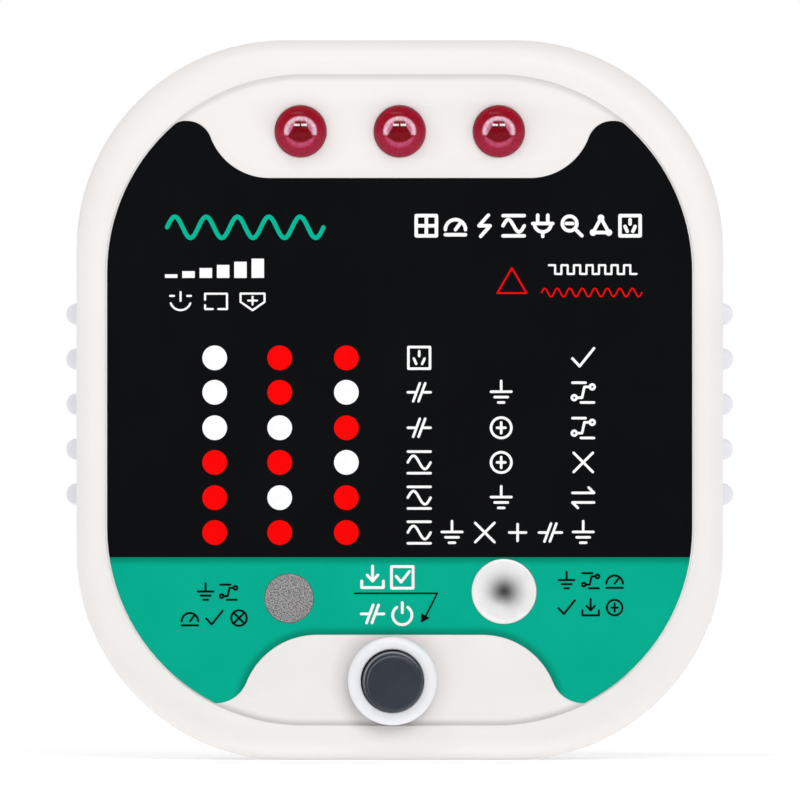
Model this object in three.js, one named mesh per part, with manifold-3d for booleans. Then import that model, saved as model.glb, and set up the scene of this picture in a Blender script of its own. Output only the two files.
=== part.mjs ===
// Outlet tester plug: a two-shell case with plug pins on its back, lamps, a touch contact and an RCD
// test button on its face. Millimetres. +Z is up, the face looks towards -Y and the pins point to +Y.
// The origin is the centre of the flat plug face that meets the wall socket.
import * as THREE from "three";
import { mergeVertices } from "three/addons/utils/BufferGeometryUtils.js";
import Module from "manifold-3d";

const wasm = await Module();
wasm.setup();

// ---- Driving dimensions ----

const CORNER_STEPS = 8;
const ROUND_STEPS = 16;
const SMALL_STEPS = 10;
const LEAD_SIDES = 6;
const MERGE_DISTANCE = 1e-4;
const CLEARANCE = 0.05;
// How far a cutter runs past the face that it opens.
const OVERCUT = 1;
const QUARTER_TURN = Math.PI / 2;
const FULL_TURN = Math.PI * 2;
// The signs of X and Z in each quarter turn round the Y axis.
const QUADRANTS = [[1, 1], [-1, 1], [-1, -1], [1, -1]];

// Outlines seen from the front, as half sizes and corner radius.
const BODY = { halfWidth: 31, halfHeight: 34.5, radius: 20 };
const PANEL = { halfWidth: 28.15, halfHeight: 31.15, radius: 18.95 };
const PLUG_BOSS = { halfWidth: 19, halfHeight: 18, radius: 9 };
const PLUG_BOSS_CHAMFER = 0.2;

// Depth stations along Y.
const RIM_Y = -32;
const PANEL_Y = -31.5;
const POCKET_FLOOR_Y = -31.1;
const PANEL_BACK_Y = -29.4;
const BOARD_FRONT_Y = -22;
const BOARD_BACK_Y = -20.4;
const PARTING_Y = -16;
const REAR_INSIDE_Y = -5;
const BACK_Y = -2.5;

const WALL = 2.2;
const RIM = { crest: 0.62, edgeDepth: 2.8, innerDrop: 0.22, innerEdge: 0.97, edgeSteps: 6, innerSteps: 3 };
const SEAM = { chamfer: 0.3, tongueInset: 1.2, tongueDepth: 1.1, gap: 0.1 };
const INNER_FILLET = 1.2;
const REAR = { draft: 0.4, edgeY: -6, edgeInset: 3.4, edgeSteps: 5, innerInset: 5.2, innerEdgeY: -7.5 };
const RIB = { count: 5, pitch: 4.34, middleZ: -0.4, base: 2.1, tip: 1, height: 1.15, root: 1 };
const RIB_BACK_Y = -6.6;
const RIB_LENGTH = 8.6;

const LABEL = { halfWidth: 28.04, halfHeight: 31.05, radius: 18.8, thickness: 0.3, holeGap: 0.15 };
const LABEL_ARC_POINTS = 5;
const TOP_NOTCH = { flatZ: 21.28, flatHalf: 12.5, roundRadius: 6, hornRadius: 2.4, hornZ: 26.75 };
const BOTTOM_NOTCH = { flatZ: 22.5, flatHalf: 7.93, roundRadius: 7.3, hornRadius: 3.1, hornZ: 29.05 };

const LED = { pitch: 9.5, z: 25.75, radius: 2.5, tipY: -33, length: 8.6, hole: 2.56, domeSteps: 5 };
const LED_FLANGE = { radius: 2.9, depth: 1, flatX: 2.55 };
const LEG = { spacing: 2.54, width: 0.5, endY: -19.6, hole: 0.6 };

const WINDOW = { x: -10.6, z: -19, radius: 2.36, frontY: -31.45, flangeRadius: 3.4, flangeDepth: 0.7 };
const NEON = { radius: 2, tipY: -28.2, neckY: -24.2, neckRadius: 1.2, baseY: -23 };
const NEON_TIP = { depth: 1.2, steps: 3 };

const CONTACT = { x: 10, z: -18.35, radius: 3.14, frontY: -31.5 };
const DISH = { radius: 2.8, depth: 0.5, steps: 4 };
const CONTACT_BACK = { flangeRadius: 4.3, flangeDepth: 0.8, postRadius: 1.1, postY: -27.4 };
const CONTACT_SPRING = { radius: 2, wire: 0.22, turns: 4, frontY: -28.2, backY: -22.4 };

const BUTTON = { x: -0.7, z: -26.9, travel: 1.5, contactGap: 0.05 };
const COLLAR = { radius: 4.25, bore: 3, frontY: -34.2, neckRadius: 3.65, neckEndY: -28.9, lipRadius: 4 };
const COLLAR_EDGE = { outer: 0.55, inner: 0.3, steps: 4 };
const CAP = { radius: 2.88, frontY: -35, chamfer: 0.25, flangeRadius: 3.45, flangeY: -28.8, backY: -28 };
const PLUNGER = { radius: 1.25, frontY: -30.8, backY: -24.4, stubRadius: 0.45, stubEndY: -23.9 };
const PLUNGER_SOCKET = { radius: 1.35, endY: -31 };
const SWITCH = { half: 4.2, frontY: -26.4, backY: -22.05, wellRadius: 2.45, wellFloorY: -25.2 };
const SWITCH_CHAMBER = { half: 3.4, frontY: -24.5, stemHole: 1.4 };
const BUTTON_SPRING = { radius: 1.85, wire: 0.16, turns: 3, frontY: -27.8, backY: -25.4 };
const MOVING_CONTACT = { length: 6, width: 1.8, thickness: 0.4, hole: 0.55 };
const FIXED_CONTACT = { x: 2.2, pad: 1.6, frontY: -22.4, backY: -22.1, leg: 0.6, endY: -19.8, slot: 1 };

const BOARD = { halfWidth: 27.8, halfHeight: 31.1, radius: 16.6, bossNotch: 4.2 };
const SCREW_BOSS = { x: 20, z: 23.5, frontRadius: 3.4, rearRadius: 4, gap: 0.3 };
const CASE_SCREW = { radius: 1.4, headRadius: 2.6, headDepth: 1.8, seatY: -11, tipY: -25, point: 1.2 };
const CASE_SCREW_HOLES = { pilot: 1.5, pilotEndY: -26, through: 1.65, well: 3.1 };
const BOARD_SCREW = { radius: 1, headRadius: 1.9, headDepth: 1.3, seatY: -20.35, tipY: -26.5, point: 0.8 };
const BOARD_POST = { x: 23, z: 2, radius: 2.5, pilot: 1.1, pilotEndY: -27.2, clearHole: 1.2 };
const RETAINER_SCREW = { radius: 1, headRadius: 1.9, headDepth: 1.3, seatY: -8.65, tipY: -3.2, point: 0.8 };
const RETAINER_POST = { x: 10.4, z: 9.5, radius: 2.3, frontY: -6.35 };
const RETAINER_HOLES = { pilot: 1.1, pilotEndY: -2.4, clear: 1.2 };
const SCREW_HEAD = { crown: 0.4, recessWidth: 0.5, recessDepth: 0.7, recessReach: 0.75 };

const RESISTOR = { z: 15, y: -24.2, halfLength: 3.1, endRadius: 1.2, waistRadius: 1, bulb: 1.1 };
const DIODE = { z: 0, y: -24.1, halfLength: 2.6, radius: 1.3, edge: 0.2 };
const TOUCH_RESISTOR = { x: 0, z: -12.5 };
const LEAD = { radius: 0.28, reach: 2.2, inside: 0.5, endY: -19.8, steps: 5, hole: 0.62 };
const LOAD_RESISTOR = { x: 0, z: 19, halfLength: 11, halfHeight: 4.5, frontY: -19.5, backY: -10.5 };
const LOAD_LEAD = { x: 8.5, radius: 0.4, endY: -22.8 };

// Flat-blade plug pattern: each blade stands across the radius from the pattern's centre.
const BLADE = { width: 6.4, thickness: 1.5, bevel: 0.2, tipTaper: 1, tipLength: 1.4, slotGap: 0.2 };
const BLADE_SHOULDER = { width: 8.4, frontY: -6.2, backY: -5.2 };
const BLADE_TAIL = { width: 3.6, endY: -12, slotGap: 0.3 };
const PHASE_PIN = { orbit: 7.92, length: 18 };
const EARTH_PIN = { orbit: 10.31, length: 21 };
const RETAINER = { halfWidth: 13.2, halfHeight: 12.8, radius: 4, z: 3.4, frontY: -8.6, backY: -6.4 };
const WIRE = { radius: 0.9, sides: 8, steps: 12, startY: -12.3, endY: -20.1, straight: 1 };
const WIRE_PADS = { earth: [0, 7], live: [14, -9], neutral: [-14, -9] };

// ---- Materials ----

function plastic(color, roughness = 0.5) {
  return new THREE.MeshStandardMaterial({ color, roughness, metalness: 0 });
}

function metal(color, roughness = 0.3) {
  return new THREE.MeshStandardMaterial({ color, roughness, metalness: 1 });
}

const WARM_WHITE = plastic(0xf1edec, 0.45);
const COOL_WHITE = plastic(0xe4e4ea, 0.5);
const LABEL_BLACK = plastic(0x111216, 0.4);
const LAMP_RED = plastic(0xa01432, 0.15);
const FROSTED_GREY = plastic(0x8a8a8a, 0.7);
const LAMP_GLASS = plastic(0xd8dcdc, 0.05);
const BRIGHT_STEEL = metal(0xd8d8d8, 0.25);
const SPRING_STEEL = metal(0xb0b0b0, 0.35);
const BRASS = metal(0xc9a24e, 0.35);
const ZINC_STEEL = metal(0xaeb1b4, 0.4);
const BOARD_GREEN = plastic(0x1f6b3a, 0.5);
const SATIN_WHITE = plastic(0xecedf0, 0.35);
const BUTTON_GREY = plastic(0x323943, 0.5);
const SWITCH_BLACK = plastic(0x1b1b1d, 0.6);
const CEMENT_WHITE = plastic(0xdad6cc, 0.9);
const RESISTOR_BLUE = plastic(0x6ea7c4, 0.5);
const DIODE_BLACK = plastic(0x141414, 0.5);
const RETAINER_BLACK = plastic(0x26272a, 0.6);
const LIVE_BROWN = plastic(0x6b3a1e, 0.6);
const NEUTRAL_BLUE = plastic(0x2b5fb0, 0.6);
const EARTH_GREEN = plastic(0x3f9a3a, 0.6);

// ---- Geometry helpers ----

// A three.js geometry as a manifold-3d solid, with its shared corners merged.
function solid(geometry) {
  const bare = geometry.index ? geometry.toNonIndexed() : geometry.clone();
  bare.deleteAttribute("normal");
  bare.deleteAttribute("uv");
  const merged = mergeVertices(bare, MERGE_DISTANCE);
  const vertProperties = merged.attributes.position.array;
  const triVerts = new Uint32Array(merged.index.array);
  return new wasm.Manifold(new wasm.Mesh({ numProp: 3, vertProperties, triVerts }));
}

function geometryOf(body) {
  const { vertProperties, triVerts } = body.getMesh();
  const geometry = new THREE.BufferGeometry();
  geometry.setAttribute("position", new THREE.BufferAttribute(vertProperties, 3));
  geometry.setIndex(new THREE.BufferAttribute(triVerts, 1));
  geometry.computeVertexNormals();
  return geometry;
}

// The base geometry with every added piece joined on, and then every cutter taken away.
function carved(base, added, cutters) {
  let body = solid(base);
  for (const piece of added) {
    body = body.add(solid(piece));
  }
  for (const cutter of cutters) {
    body = body.subtract(solid(cutter));
  }
  return geometryOf(body);
}

function mesh(name, geometry, material, position = [0, 0, 0]) {
  const made = new THREE.Mesh(geometry, material);
  made.name = name;
  made.position.set(...position);
  return made;
}

// A body turned about the Y axis. The profile is [radius, y] pairs that start on the axis at the
// front and end on the axis at the back, or close on themselves the same way round.
function turned(profile, segments = ROUND_STEPS) {
  const points = profile.map(([radius, y]) => new THREE.Vector2(radius, y));
  return new THREE.LatheGeometry(points, segments);
}

function rod(radius, frontY, backY, x = 0, z = 0, segments = ROUND_STEPS) {
  const profile = [[0, frontY], [radius, frontY], [radius, backY], [0, backY]];
  return turned(profile, segments).translate(x, 0, z);
}

// A box given by its half sizes across X and Z and its two stations along Y.
function block(halfX, halfZ, frontY, backY, x = 0, z = 0) {
  const geometry = new THREE.BoxGeometry(2 * halfX, backY - frontY, 2 * halfZ);
  return geometry.translate(x, (frontY + backY) / 2, z);
}

// A flat outline in the XZ plane, extruded from its front station to its back one.
function plate(outline, frontY, backY, curveSegments = CORNER_STEPS) {
  const settings = { depth: backY - frontY, bevelEnabled: false, curveSegments };
  const geometry = new THREE.ExtrudeGeometry(outline, settings);
  return geometry.rotateX(QUARTER_TURN).translate(0, backY, 0);
}

function insetOf(outline, distance) {
  return {
    halfWidth: outline.halfWidth - distance,
    halfHeight: outline.halfHeight - distance,
    radius: outline.radius - distance,
  };
}

// A rounded rectangle as a ring of points at one station.
function ring({ halfWidth, halfHeight, radius }, y) {
  return QUADRANTS.flatMap(([side, rise], quadrant) => {
    const points = [];
    for (let step = 0; step <= CORNER_STEPS; step += 1) {
      const angle = (quadrant + step / CORNER_STEPS) * QUARTER_TURN;
      const x = side * (halfWidth - radius) + radius * Math.cos(angle);
      const z = rise * (halfHeight - radius) + radius * Math.sin(angle);
      points.push([x, y, z]);
    }
    return points;
  });
}

// A closed skin through rings with the same number of points, capped flat at both ends.
function lofted(rings) {
  const count = rings[0].length;
  const last = (rings.length - 1) * count;
  const middles = [rings[0], rings.at(-1)].map((points) => [0, points[0][1], 0]);
  const frontMiddle = rings.length * count;
  const index = [];
  for (let i = 0; i < count; i += 1) {
    const next = (i + 1) % count;
    index.push(frontMiddle, i, next);
    index.push(frontMiddle + 1, last + next, last + i);
    for (let start = 0; start < last; start += count) {
      index.push(start + i, start + count + i, start + next);
      index.push(start + next, start + count + i, start + count + next);
    }
  }
  const geometry = new THREE.BufferGeometry();
  const positions = [...rings, middles].flat(2);
  geometry.setAttribute("position", new THREE.Float32BufferAttribute(positions, 3));
  geometry.setIndex(index);
  return geometry;
}

function roundedPlate(outline, frontY, backY, z = 0) {
  return lofted([ring(outline, frontY), ring(outline, backY)]).translate(0, 0, z);
}

// A tube with flat ends along a curve.
function tube(curve, radius, sides, steps) {
  const section = new THREE.Shape();
  section.absarc(0, 0, radius, 0, FULL_TURN);
  const settings = { steps, extrudePath: curve, curveSegments: sides / 2, bevelEnabled: false };
  return new THREE.ExtrudeGeometry(section, settings);
}

class Helix extends THREE.Curve {
  constructor({ radius, turns, frontY, backY }) {
    super();
    Object.assign(this, { radius, turns, frontY, backY });
  }

  getPoint(t, target = new THREE.Vector3()) {
    const angle = t * this.turns * FULL_TURN;
    const y = THREE.MathUtils.lerp(this.frontY, this.backY, t);
    return target.set(this.radius * Math.cos(angle), y, this.radius * Math.sin(angle));
  }
}

function coilSpring(spring) {
  return tube(new Helix(spring), spring.wire, LEAD_SIDES, spring.turns * SMALL_STEPS);
}

function fourCorners(x, z) {
  return [[-x, z], [x, z], [-x, -z], [x, -z]];
}

function leftAndRight(x, z) {
  return [[-x, z], [x, z]];
}

// ---- Case ----

// The rim's outline, from the body's edge at 0 to the panel's edge at 1.
function rimOutline(fraction) {
  return {
    halfWidth: THREE.MathUtils.lerp(BODY.halfWidth, PANEL.halfWidth, fraction),
    halfHeight: THREE.MathUtils.lerp(BODY.halfHeight, PANEL.halfHeight, fraction),
    radius: THREE.MathUtils.lerp(BODY.radius, PANEL.radius, fraction),
  };
}

// The rolled rim from the panel's step, over its crest, to the case side.
function rimRings() {
  const rings = [ring(PANEL, PANEL_Y)];
  for (let step = RIM.innerSteps; step > 0; step -= 1) {
    const part = step / RIM.innerSteps;
    const fraction = THREE.MathUtils.lerp(RIM.crest, RIM.innerEdge, part);
    rings.push(ring(rimOutline(fraction), RIM_Y + RIM.innerDrop * part * part));
  }
  for (let step = 0; step <= RIM.edgeSteps; step += 1) {
    const angle = (step / RIM.edgeSteps) * QUARTER_TURN;
    const fraction = RIM.crest * (1 - Math.sin(angle));
    rings.push(ring(rimOutline(fraction), RIM_Y + RIM.edgeDepth * (1 - Math.cos(angle))));
  }
  return rings;
}

function frontSkin() {
  const tongueY = PARTING_Y + SEAM.tongueDepth;
  return lofted([
    ...rimRings(),
    ring(BODY, PARTING_Y - SEAM.chamfer),
    ring(insetOf(BODY, SEAM.chamfer), PARTING_Y),
    ring(insetOf(BODY, SEAM.tongueInset), PARTING_Y),
    ring(insetOf(BODY, SEAM.tongueInset), tongueY),
    ring(insetOf(BODY, WALL), tongueY),
    ring(insetOf(BODY, WALL), PANEL_BACK_Y + INNER_FILLET),
    ring(insetOf(BODY, WALL + INNER_FILLET), PANEL_BACK_Y),
  ]);
}

function frontShell() {
  const panelInside = (RIM_Y + PANEL_BACK_Y) / 2;
  const frontOpen = RIM_Y - OVERCUT;
  const bossTop = PARTING_Y - SCREW_BOSS.gap;
  const hole = (radius, x, z) => rod(radius, frontOpen, PANEL_BACK_Y + OVERCUT, x, z);
  const added = [
    ...fourCorners(SCREW_BOSS.x, SCREW_BOSS.z).map(([x, z]) =>
      rod(SCREW_BOSS.frontRadius, panelInside, bossTop, x, z)),
    ...leftAndRight(BOARD_POST.x, BOARD_POST.z).map(([x, z]) =>
      rod(BOARD_POST.radius, panelInside, BOARD_FRONT_Y - CLEARANCE, x, z)),
  ];
  const cutters = [
    plate(labelOutline(0), frontOpen, POCKET_FLOOR_Y),
    ...ledPlaces().map(([x]) => hole(LED.hole, x, LED.z)),
    hole(WINDOW.radius + 2 * CLEARANCE, WINDOW.x, WINDOW.z),
    hole(CONTACT.radius + 2 * CLEARANCE, CONTACT.x, CONTACT.z),
    hole(COLLAR.neckRadius + CLEARANCE, BUTTON.x, BUTTON.z),
    ...fourCorners(SCREW_BOSS.x, SCREW_BOSS.z).map(([x, z]) =>
      rod(CASE_SCREW_HOLES.pilot, CASE_SCREW_HOLES.pilotEndY, bossTop + OVERCUT, x, z, SMALL_STEPS)),
    ...leftAndRight(BOARD_POST.x, BOARD_POST.z).map(([x, z]) =>
      rod(BOARD_POST.pilot, BOARD_POST.pilotEndY, BOARD_FRONT_Y + OVERCUT, x, z, SMALL_STEPS)),
  ];
  return mesh("front_shell", carved(frontSkin(), added, cutters), WARM_WHITE);
}

function rearSkin() {
  const rabbetY = PARTING_Y + SEAM.tongueDepth + SEAM.gap;
  const edgeY = PARTING_Y + CLEARANCE;
  const rabbetInset = SEAM.tongueInset - SEAM.gap;
  const rings = [
    ring(insetOf(BODY, REAR.innerInset), REAR_INSIDE_Y),
    ring(insetOf(BODY, WALL + REAR.draft), REAR.innerEdgeY),
    ring(insetOf(BODY, WALL), rabbetY),
    ring(insetOf(BODY, rabbetInset), rabbetY),
    ring(insetOf(BODY, rabbetInset), edgeY),
    ring(insetOf(BODY, SEAM.chamfer), edgeY),
    ring(BODY, edgeY + SEAM.chamfer),
  ];
  for (let step = 0; step <= REAR.edgeSteps; step += 1) {
    const angle = (step / REAR.edgeSteps) * QUARTER_TURN;
    const inset = REAR.draft + REAR.edgeInset * (1 - Math.cos(angle));
    const y = THREE.MathUtils.lerp(REAR.edgeY, BACK_Y, Math.sin(angle));
    rings.push(ring(insetOf(BODY, inset), y));
  }
  return lofted(rings);
}

// One grip rib, from inside the case wall to its flat tip.
function gripRib(side, z) {
  const foot = side * (BODY.halfWidth - RIB.root);
  const edge = side * (BODY.halfWidth - REAR.draft);
  const tip = side * (BODY.halfWidth + RIB.height);
  const outline = new THREE.Shape();
  outline.moveTo(foot, z - RIB.base / 2);
  outline.lineTo(edge, z - RIB.base / 2);
  outline.lineTo(tip, z - RIB.tip / 2);
  outline.lineTo(tip, z + RIB.tip / 2);
  outline.lineTo(edge, z + RIB.base / 2);
  outline.lineTo(foot, z + RIB.base / 2);
  return plate(outline, RIB_BACK_Y - RIB_LENGTH, RIB_BACK_Y);
}

function gripRibs() {
  const ribs = [];
  for (let i = 0; i < RIB.count; i += 1) {
    const z = RIB.middleZ + (i - (RIB.count - 1) / 2) * RIB.pitch;
    ribs.push(gripRib(-1, z), gripRib(1, z));
  }
  return ribs;
}

function plugBoss() {
  return lofted([
    ring(PLUG_BOSS, REAR_INSIDE_Y + CLEARANCE),
    ring(PLUG_BOSS, -PLUG_BOSS_CHAMFER),
    ring(insetOf(PLUG_BOSS, PLUG_BOSS_CHAMFER), 0),
  ]);
}

function rearShell() {
  const added = [
    plugBoss(),
    ...gripRibs(),
    ...fourCorners(SCREW_BOSS.x, SCREW_BOSS.z).map(([x, z]) =>
      rod(SCREW_BOSS.rearRadius, PARTING_Y, BACK_Y - WALL / 2, x, z)),
    ...leftAndRight(RETAINER_POST.x, RETAINER_POST.z).map(([x, z]) =>
      rod(RETAINER_POST.radius, RETAINER_POST.frontY, BACK_Y, x, z)),
  ];
  const insideOpen = REAR_INSIDE_Y - OVERCUT;
  const throughFrom = PARTING_Y - OVERCUT;
  const throughTo = CASE_SCREW.seatY + OVERCUT;
  const pilotFrom = RETAINER_POST.frontY - OVERCUT;
  const cutters = [
    ...bladePlaces().map((place) => bladeSlot(place, BLADE.width, BLADE.slotGap, insideOpen, OVERCUT)),
    ...fourCorners(SCREW_BOSS.x, SCREW_BOSS.z).flatMap(([x, z]) => [
      rod(CASE_SCREW_HOLES.well, CASE_SCREW.seatY, OVERCUT, x, z),
      rod(CASE_SCREW_HOLES.through, throughFrom, throughTo, x, z, SMALL_STEPS),
    ]),
    ...leftAndRight(RETAINER_POST.x, RETAINER_POST.z).map(([x, z]) =>
      rod(RETAINER_HOLES.pilot, pilotFrom, RETAINER_HOLES.pilotEndY, x, z, SMALL_STEPS)),
  ];
  return mesh("rear_shell", carved(rearSkin(), added, cutters), COOL_WHITE);
}

// ---- Face label ----

// One side of a notch: from the horn on the label's round edge, over the horn and down the round
// corner to the notch's flat. Z runs up the label for the top notch and down it for the bottom one.
function notchSide(path, notch, clearance, up) {
  const corner = notch.roundRadius + clearance;
  const horn = notch.hornRadius - clearance;
  const flatZ = notch.flatZ - clearance;
  const cornerZ = flatZ + corner;
  const hornZ = notch.hornZ - clearance - horn;
  const hornX = notch.flatHalf + Math.sqrt((corner + horn) ** 2 - (cornerZ - hornZ) ** 2);
  const lean = Math.atan2(cornerZ - hornZ, notch.flatHalf - hornX);
  const arcs = [
    [hornX, hornZ, horn, QUARTER_TURN, lean, false],
    [notch.flatHalf, cornerZ, corner, lean - Math.PI, -QUARTER_TURN, true],
  ];
  for (const [x, z, radius, from, to, clockwise] of up ? arcs : arcs.reverse()) {
    if (up) path.absarc(x, z, radius, from, to, clockwise);
    else path.absarc(x, -z, radius, -to, -from, clockwise);
  }
}

// The label: its sides follow the panel, and it is notched round the lamps and round the button.
function labelOutline(clearance) {
  const { halfWidth, halfHeight, radius } = insetOf(LABEL, clearance);
  const middleX = halfWidth - radius;
  const middleZ = halfHeight - radius;
  const topAngle = Math.asin((TOP_NOTCH.hornZ - clearance - middleZ) / radius);
  const bottomAngle = Math.asin((BOTTOM_NOTCH.hornZ - clearance - middleZ) / radius);
  const half = new THREE.Path();
  half.moveTo(BOTTOM_NOTCH.flatHalf, clearance - BOTTOM_NOTCH.flatZ);
  notchSide(half, BOTTOM_NOTCH, clearance, false);
  half.absarc(middleX, -middleZ, radius, -bottomAngle, 0, false);
  half.absarc(middleX, middleZ, radius, 0, topAngle, false);
  notchSide(half, TOP_NOTCH, clearance, true);
  const right = half.getPoints(LABEL_ARC_POINTS);
  const left = right.map((point) => new THREE.Vector2(-point.x, point.y)).reverse();
  return new THREE.Shape([...right, ...left]);
}

function faceLabel() {
  const outline = labelOutline(CLEARANCE);
  for (const part of [WINDOW, CONTACT]) {
    const hole = new THREE.Path();
    hole.absarc(part.x, part.z, part.radius + LABEL.holeGap, 0, FULL_TURN, true);
    outline.holes.push(hole);
  }
  const backY = POCKET_FLOOR_Y - CLEARANCE;
  return mesh("face_label", plate(outline, backY - LABEL.thickness, backY), LABEL_BLACK);
}

// ---- Lamps and touch contact ----

function ledPlaces() {
  return [[-LED.pitch, "left"], [0, "middle"], [LED.pitch, "right"]];
}

// A dome of the given radius with its tip at the front, as [radius, y] pairs.
function dome(radius, tipY, depth, steps) {
  const profile = [];
  for (let step = 0; step <= steps; step += 1) {
    const angle = (step / steps) * QUARTER_TURN;
    profile.push([radius * Math.sin(angle), tipY + depth * (1 - Math.cos(angle))]);
  }
  return profile;
}

function ledGeometry() {
  const baseY = LED.tipY + LED.length;
  const flangeY = baseY - LED_FLANGE.depth;
  const lens = turned([
    ...dome(LED.radius, LED.tipY, LED.radius, LED.domeSteps),
    [LED.radius, flangeY],
    [LED_FLANGE.radius, flangeY],
    [LED_FLANGE.radius, baseY],
    [0, baseY],
  ]);
  const legs = [-1, 1].map((side) =>
    block(LEG.width / 2, LEG.width / 2, flangeY, LEG.endY, (side * LEG.spacing) / 2));
  const flat = block(OVERCUT, LED_FLANGE.radius, flangeY, baseY + OVERCUT, LED_FLANGE.flatX + OVERCUT);
  return carved(lens, legs, [flat]);
}

function leds() {
  const geometry = ledGeometry();
  return ledPlaces().map(([x, side]) => mesh(`led_${side}`, geometry, LAMP_RED, [x, 0, LED.z]));
}

function lampWindow() {
  const flangeY = PANEL_BACK_Y + CLEARANCE;
  const backY = flangeY + WINDOW.flangeDepth;
  const geometry = turned([
    [0, WINDOW.frontY],
    [WINDOW.radius - CLEARANCE, WINDOW.frontY],
    [WINDOW.radius, WINDOW.frontY + CLEARANCE],
    [WINDOW.radius, flangeY],
    [WINDOW.flangeRadius, flangeY],
    [WINDOW.flangeRadius, backY],
    [0, backY],
  ]);
  return mesh("earth_lamp_window", geometry, FROSTED_GREY, [WINDOW.x, 0, WINDOW.z]);
}

function neonLamp() {
  const bulb = turned([
    ...dome(NEON.radius, NEON.tipY, NEON_TIP.depth, NEON_TIP.steps),
    [NEON.radius, NEON.neckY],
    [NEON.neckRadius, NEON.baseY],
    [0, NEON.baseY],
  ], SMALL_STEPS);
  const legs = [-1, 1].map((side) =>
    block(LEG.width / 2, LEG.width / 2, NEON.neckY, LEG.endY, (side * NEON.neckRadius) / 2));
  return mesh("neon_lamp", carved(bulb, legs, []), LAMP_GLASS, [WINDOW.x, 0, WINDOW.z]);
}

function touchContact() {
  const flangeY = PANEL_BACK_Y + CLEARANCE;
  const backY = flangeY + CONTACT_BACK.flangeDepth;
  const dish = dome(DISH.radius, -DISH.depth, DISH.depth, DISH.steps);
  const geometry = turned([
    ...dish.map(([radius, y]) => [radius, CONTACT.frontY - y]),
    [CONTACT.radius - CLEARANCE, CONTACT.frontY],
    [CONTACT.radius, CONTACT.frontY + CLEARANCE],
    [CONTACT.radius, flangeY],
    [CONTACT_BACK.flangeRadius, flangeY],
    [CONTACT_BACK.flangeRadius, backY],
    [CONTACT_BACK.postRadius, backY],
    [CONTACT_BACK.postRadius, CONTACT_BACK.postY],
    [0, CONTACT_BACK.postY],
  ]);
  return mesh("earth_touch_contact", geometry, BRIGHT_STEEL, [CONTACT.x, 0, CONTACT.z]);
}

function touchSpring() {
  return mesh("touch_contact_spring", coilSpring(CONTACT_SPRING), SPRING_STEEL, [CONTACT.x, 0, CONTACT.z]);
}

// ---- RCD test button and its switch ----

function buttonCollar() {
  const seatY = PANEL_Y - CLEARANCE;
  const lipY = PANEL_BACK_Y + CLEARANCE;
  const crown = dome(COLLAR_EDGE.outer, COLLAR.frontY, COLLAR_EDGE.outer, COLLAR_EDGE.steps);
  const geometry = turned([
    [COLLAR.bore, COLLAR.frontY + COLLAR_EDGE.inner],
    [COLLAR.bore + COLLAR_EDGE.inner, COLLAR.frontY],
    ...crown.map(([reach, y]) => [COLLAR.radius - COLLAR_EDGE.outer + reach, y]),
    [COLLAR.radius, seatY],
    [COLLAR.neckRadius, seatY],
    [COLLAR.neckRadius, lipY],
    [COLLAR.lipRadius, lipY],
    [COLLAR.neckRadius, COLLAR.neckEndY],
    [COLLAR.bore, COLLAR.neckEndY],
    [COLLAR.bore, COLLAR.frontY + COLLAR_EDGE.inner],
  ]);
  return mesh("rcd_button_collar", geometry, SATIN_WHITE);
}

function buttonCap() {
  const geometry = turned([
    [0, CAP.frontY],
    [CAP.radius - CAP.chamfer, CAP.frontY],
    [CAP.radius, CAP.frontY + CAP.chamfer],
    [CAP.radius, CAP.flangeY],
    [CAP.flangeRadius, CAP.flangeY],
    [CAP.flangeRadius, CAP.backY],
    [PLUNGER_SOCKET.radius, CAP.backY],
    [PLUNGER_SOCKET.radius, PLUNGER_SOCKET.endY],
    [0, PLUNGER_SOCKET.endY],
  ]);
  return mesh("rcd_button_cap", geometry, BUTTON_GREY);
}

function switchPlunger() {
  const geometry = turned([
    [0, PLUNGER.frontY],
    [PLUNGER.radius, PLUNGER.frontY],
    [PLUNGER.radius, PLUNGER.backY],
    [PLUNGER.stubRadius, PLUNGER.backY],
    [PLUNGER.stubRadius, PLUNGER.stubEndY],
    [0, PLUNGER.stubEndY],
  ], SMALL_STEPS);
  return mesh("rcd_switch_plunger", geometry, SWITCH_BLACK);
}

// The bar meets the fixed contacts just before the end of the button's travel.
function movingContact() {
  const backY = FIXED_CONTACT.frontY - BUTTON.contactGap - BUTTON.travel;
  const frontY = backY - MOVING_CONTACT.thickness;
  const bar = block(MOVING_CONTACT.length / 2, MOVING_CONTACT.width / 2, frontY, backY);
  const hole = rod(MOVING_CONTACT.hole, frontY - OVERCUT, backY + OVERCUT, 0, 0, SMALL_STEPS);
  return mesh("rcd_moving_contact", carved(bar, [], [hole]), BRASS);
}

function fixedContact(side, name) {
  const { pad, leg, frontY, backY, endY } = FIXED_CONTACT;
  const strip = block(pad / 2, pad / 2, frontY, backY);
  const tail = block(leg / 2, leg / 2, frontY, endY);
  return mesh(name, carved(strip, [tail], []), BRASS, [side * FIXED_CONTACT.x, 0, 0]);
}

function switchHousing() {
  const { half, frontY, stemHole } = SWITCH_CHAMBER;
  const box = block(SWITCH.half, SWITCH.half, SWITCH.frontY, SWITCH.backY);
  const cutters = [
    rod(SWITCH.wellRadius, SWITCH.frontY - OVERCUT, SWITCH.wellFloorY),
    rod(stemHole, SWITCH.wellFloorY - OVERCUT, frontY + OVERCUT, 0, 0, SMALL_STEPS),
    block(half, half, frontY, SWITCH.backY + OVERCUT),
  ];
  return mesh("rcd_switch_housing", carved(box, [], cutters), SWITCH_BLACK);
}

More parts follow.
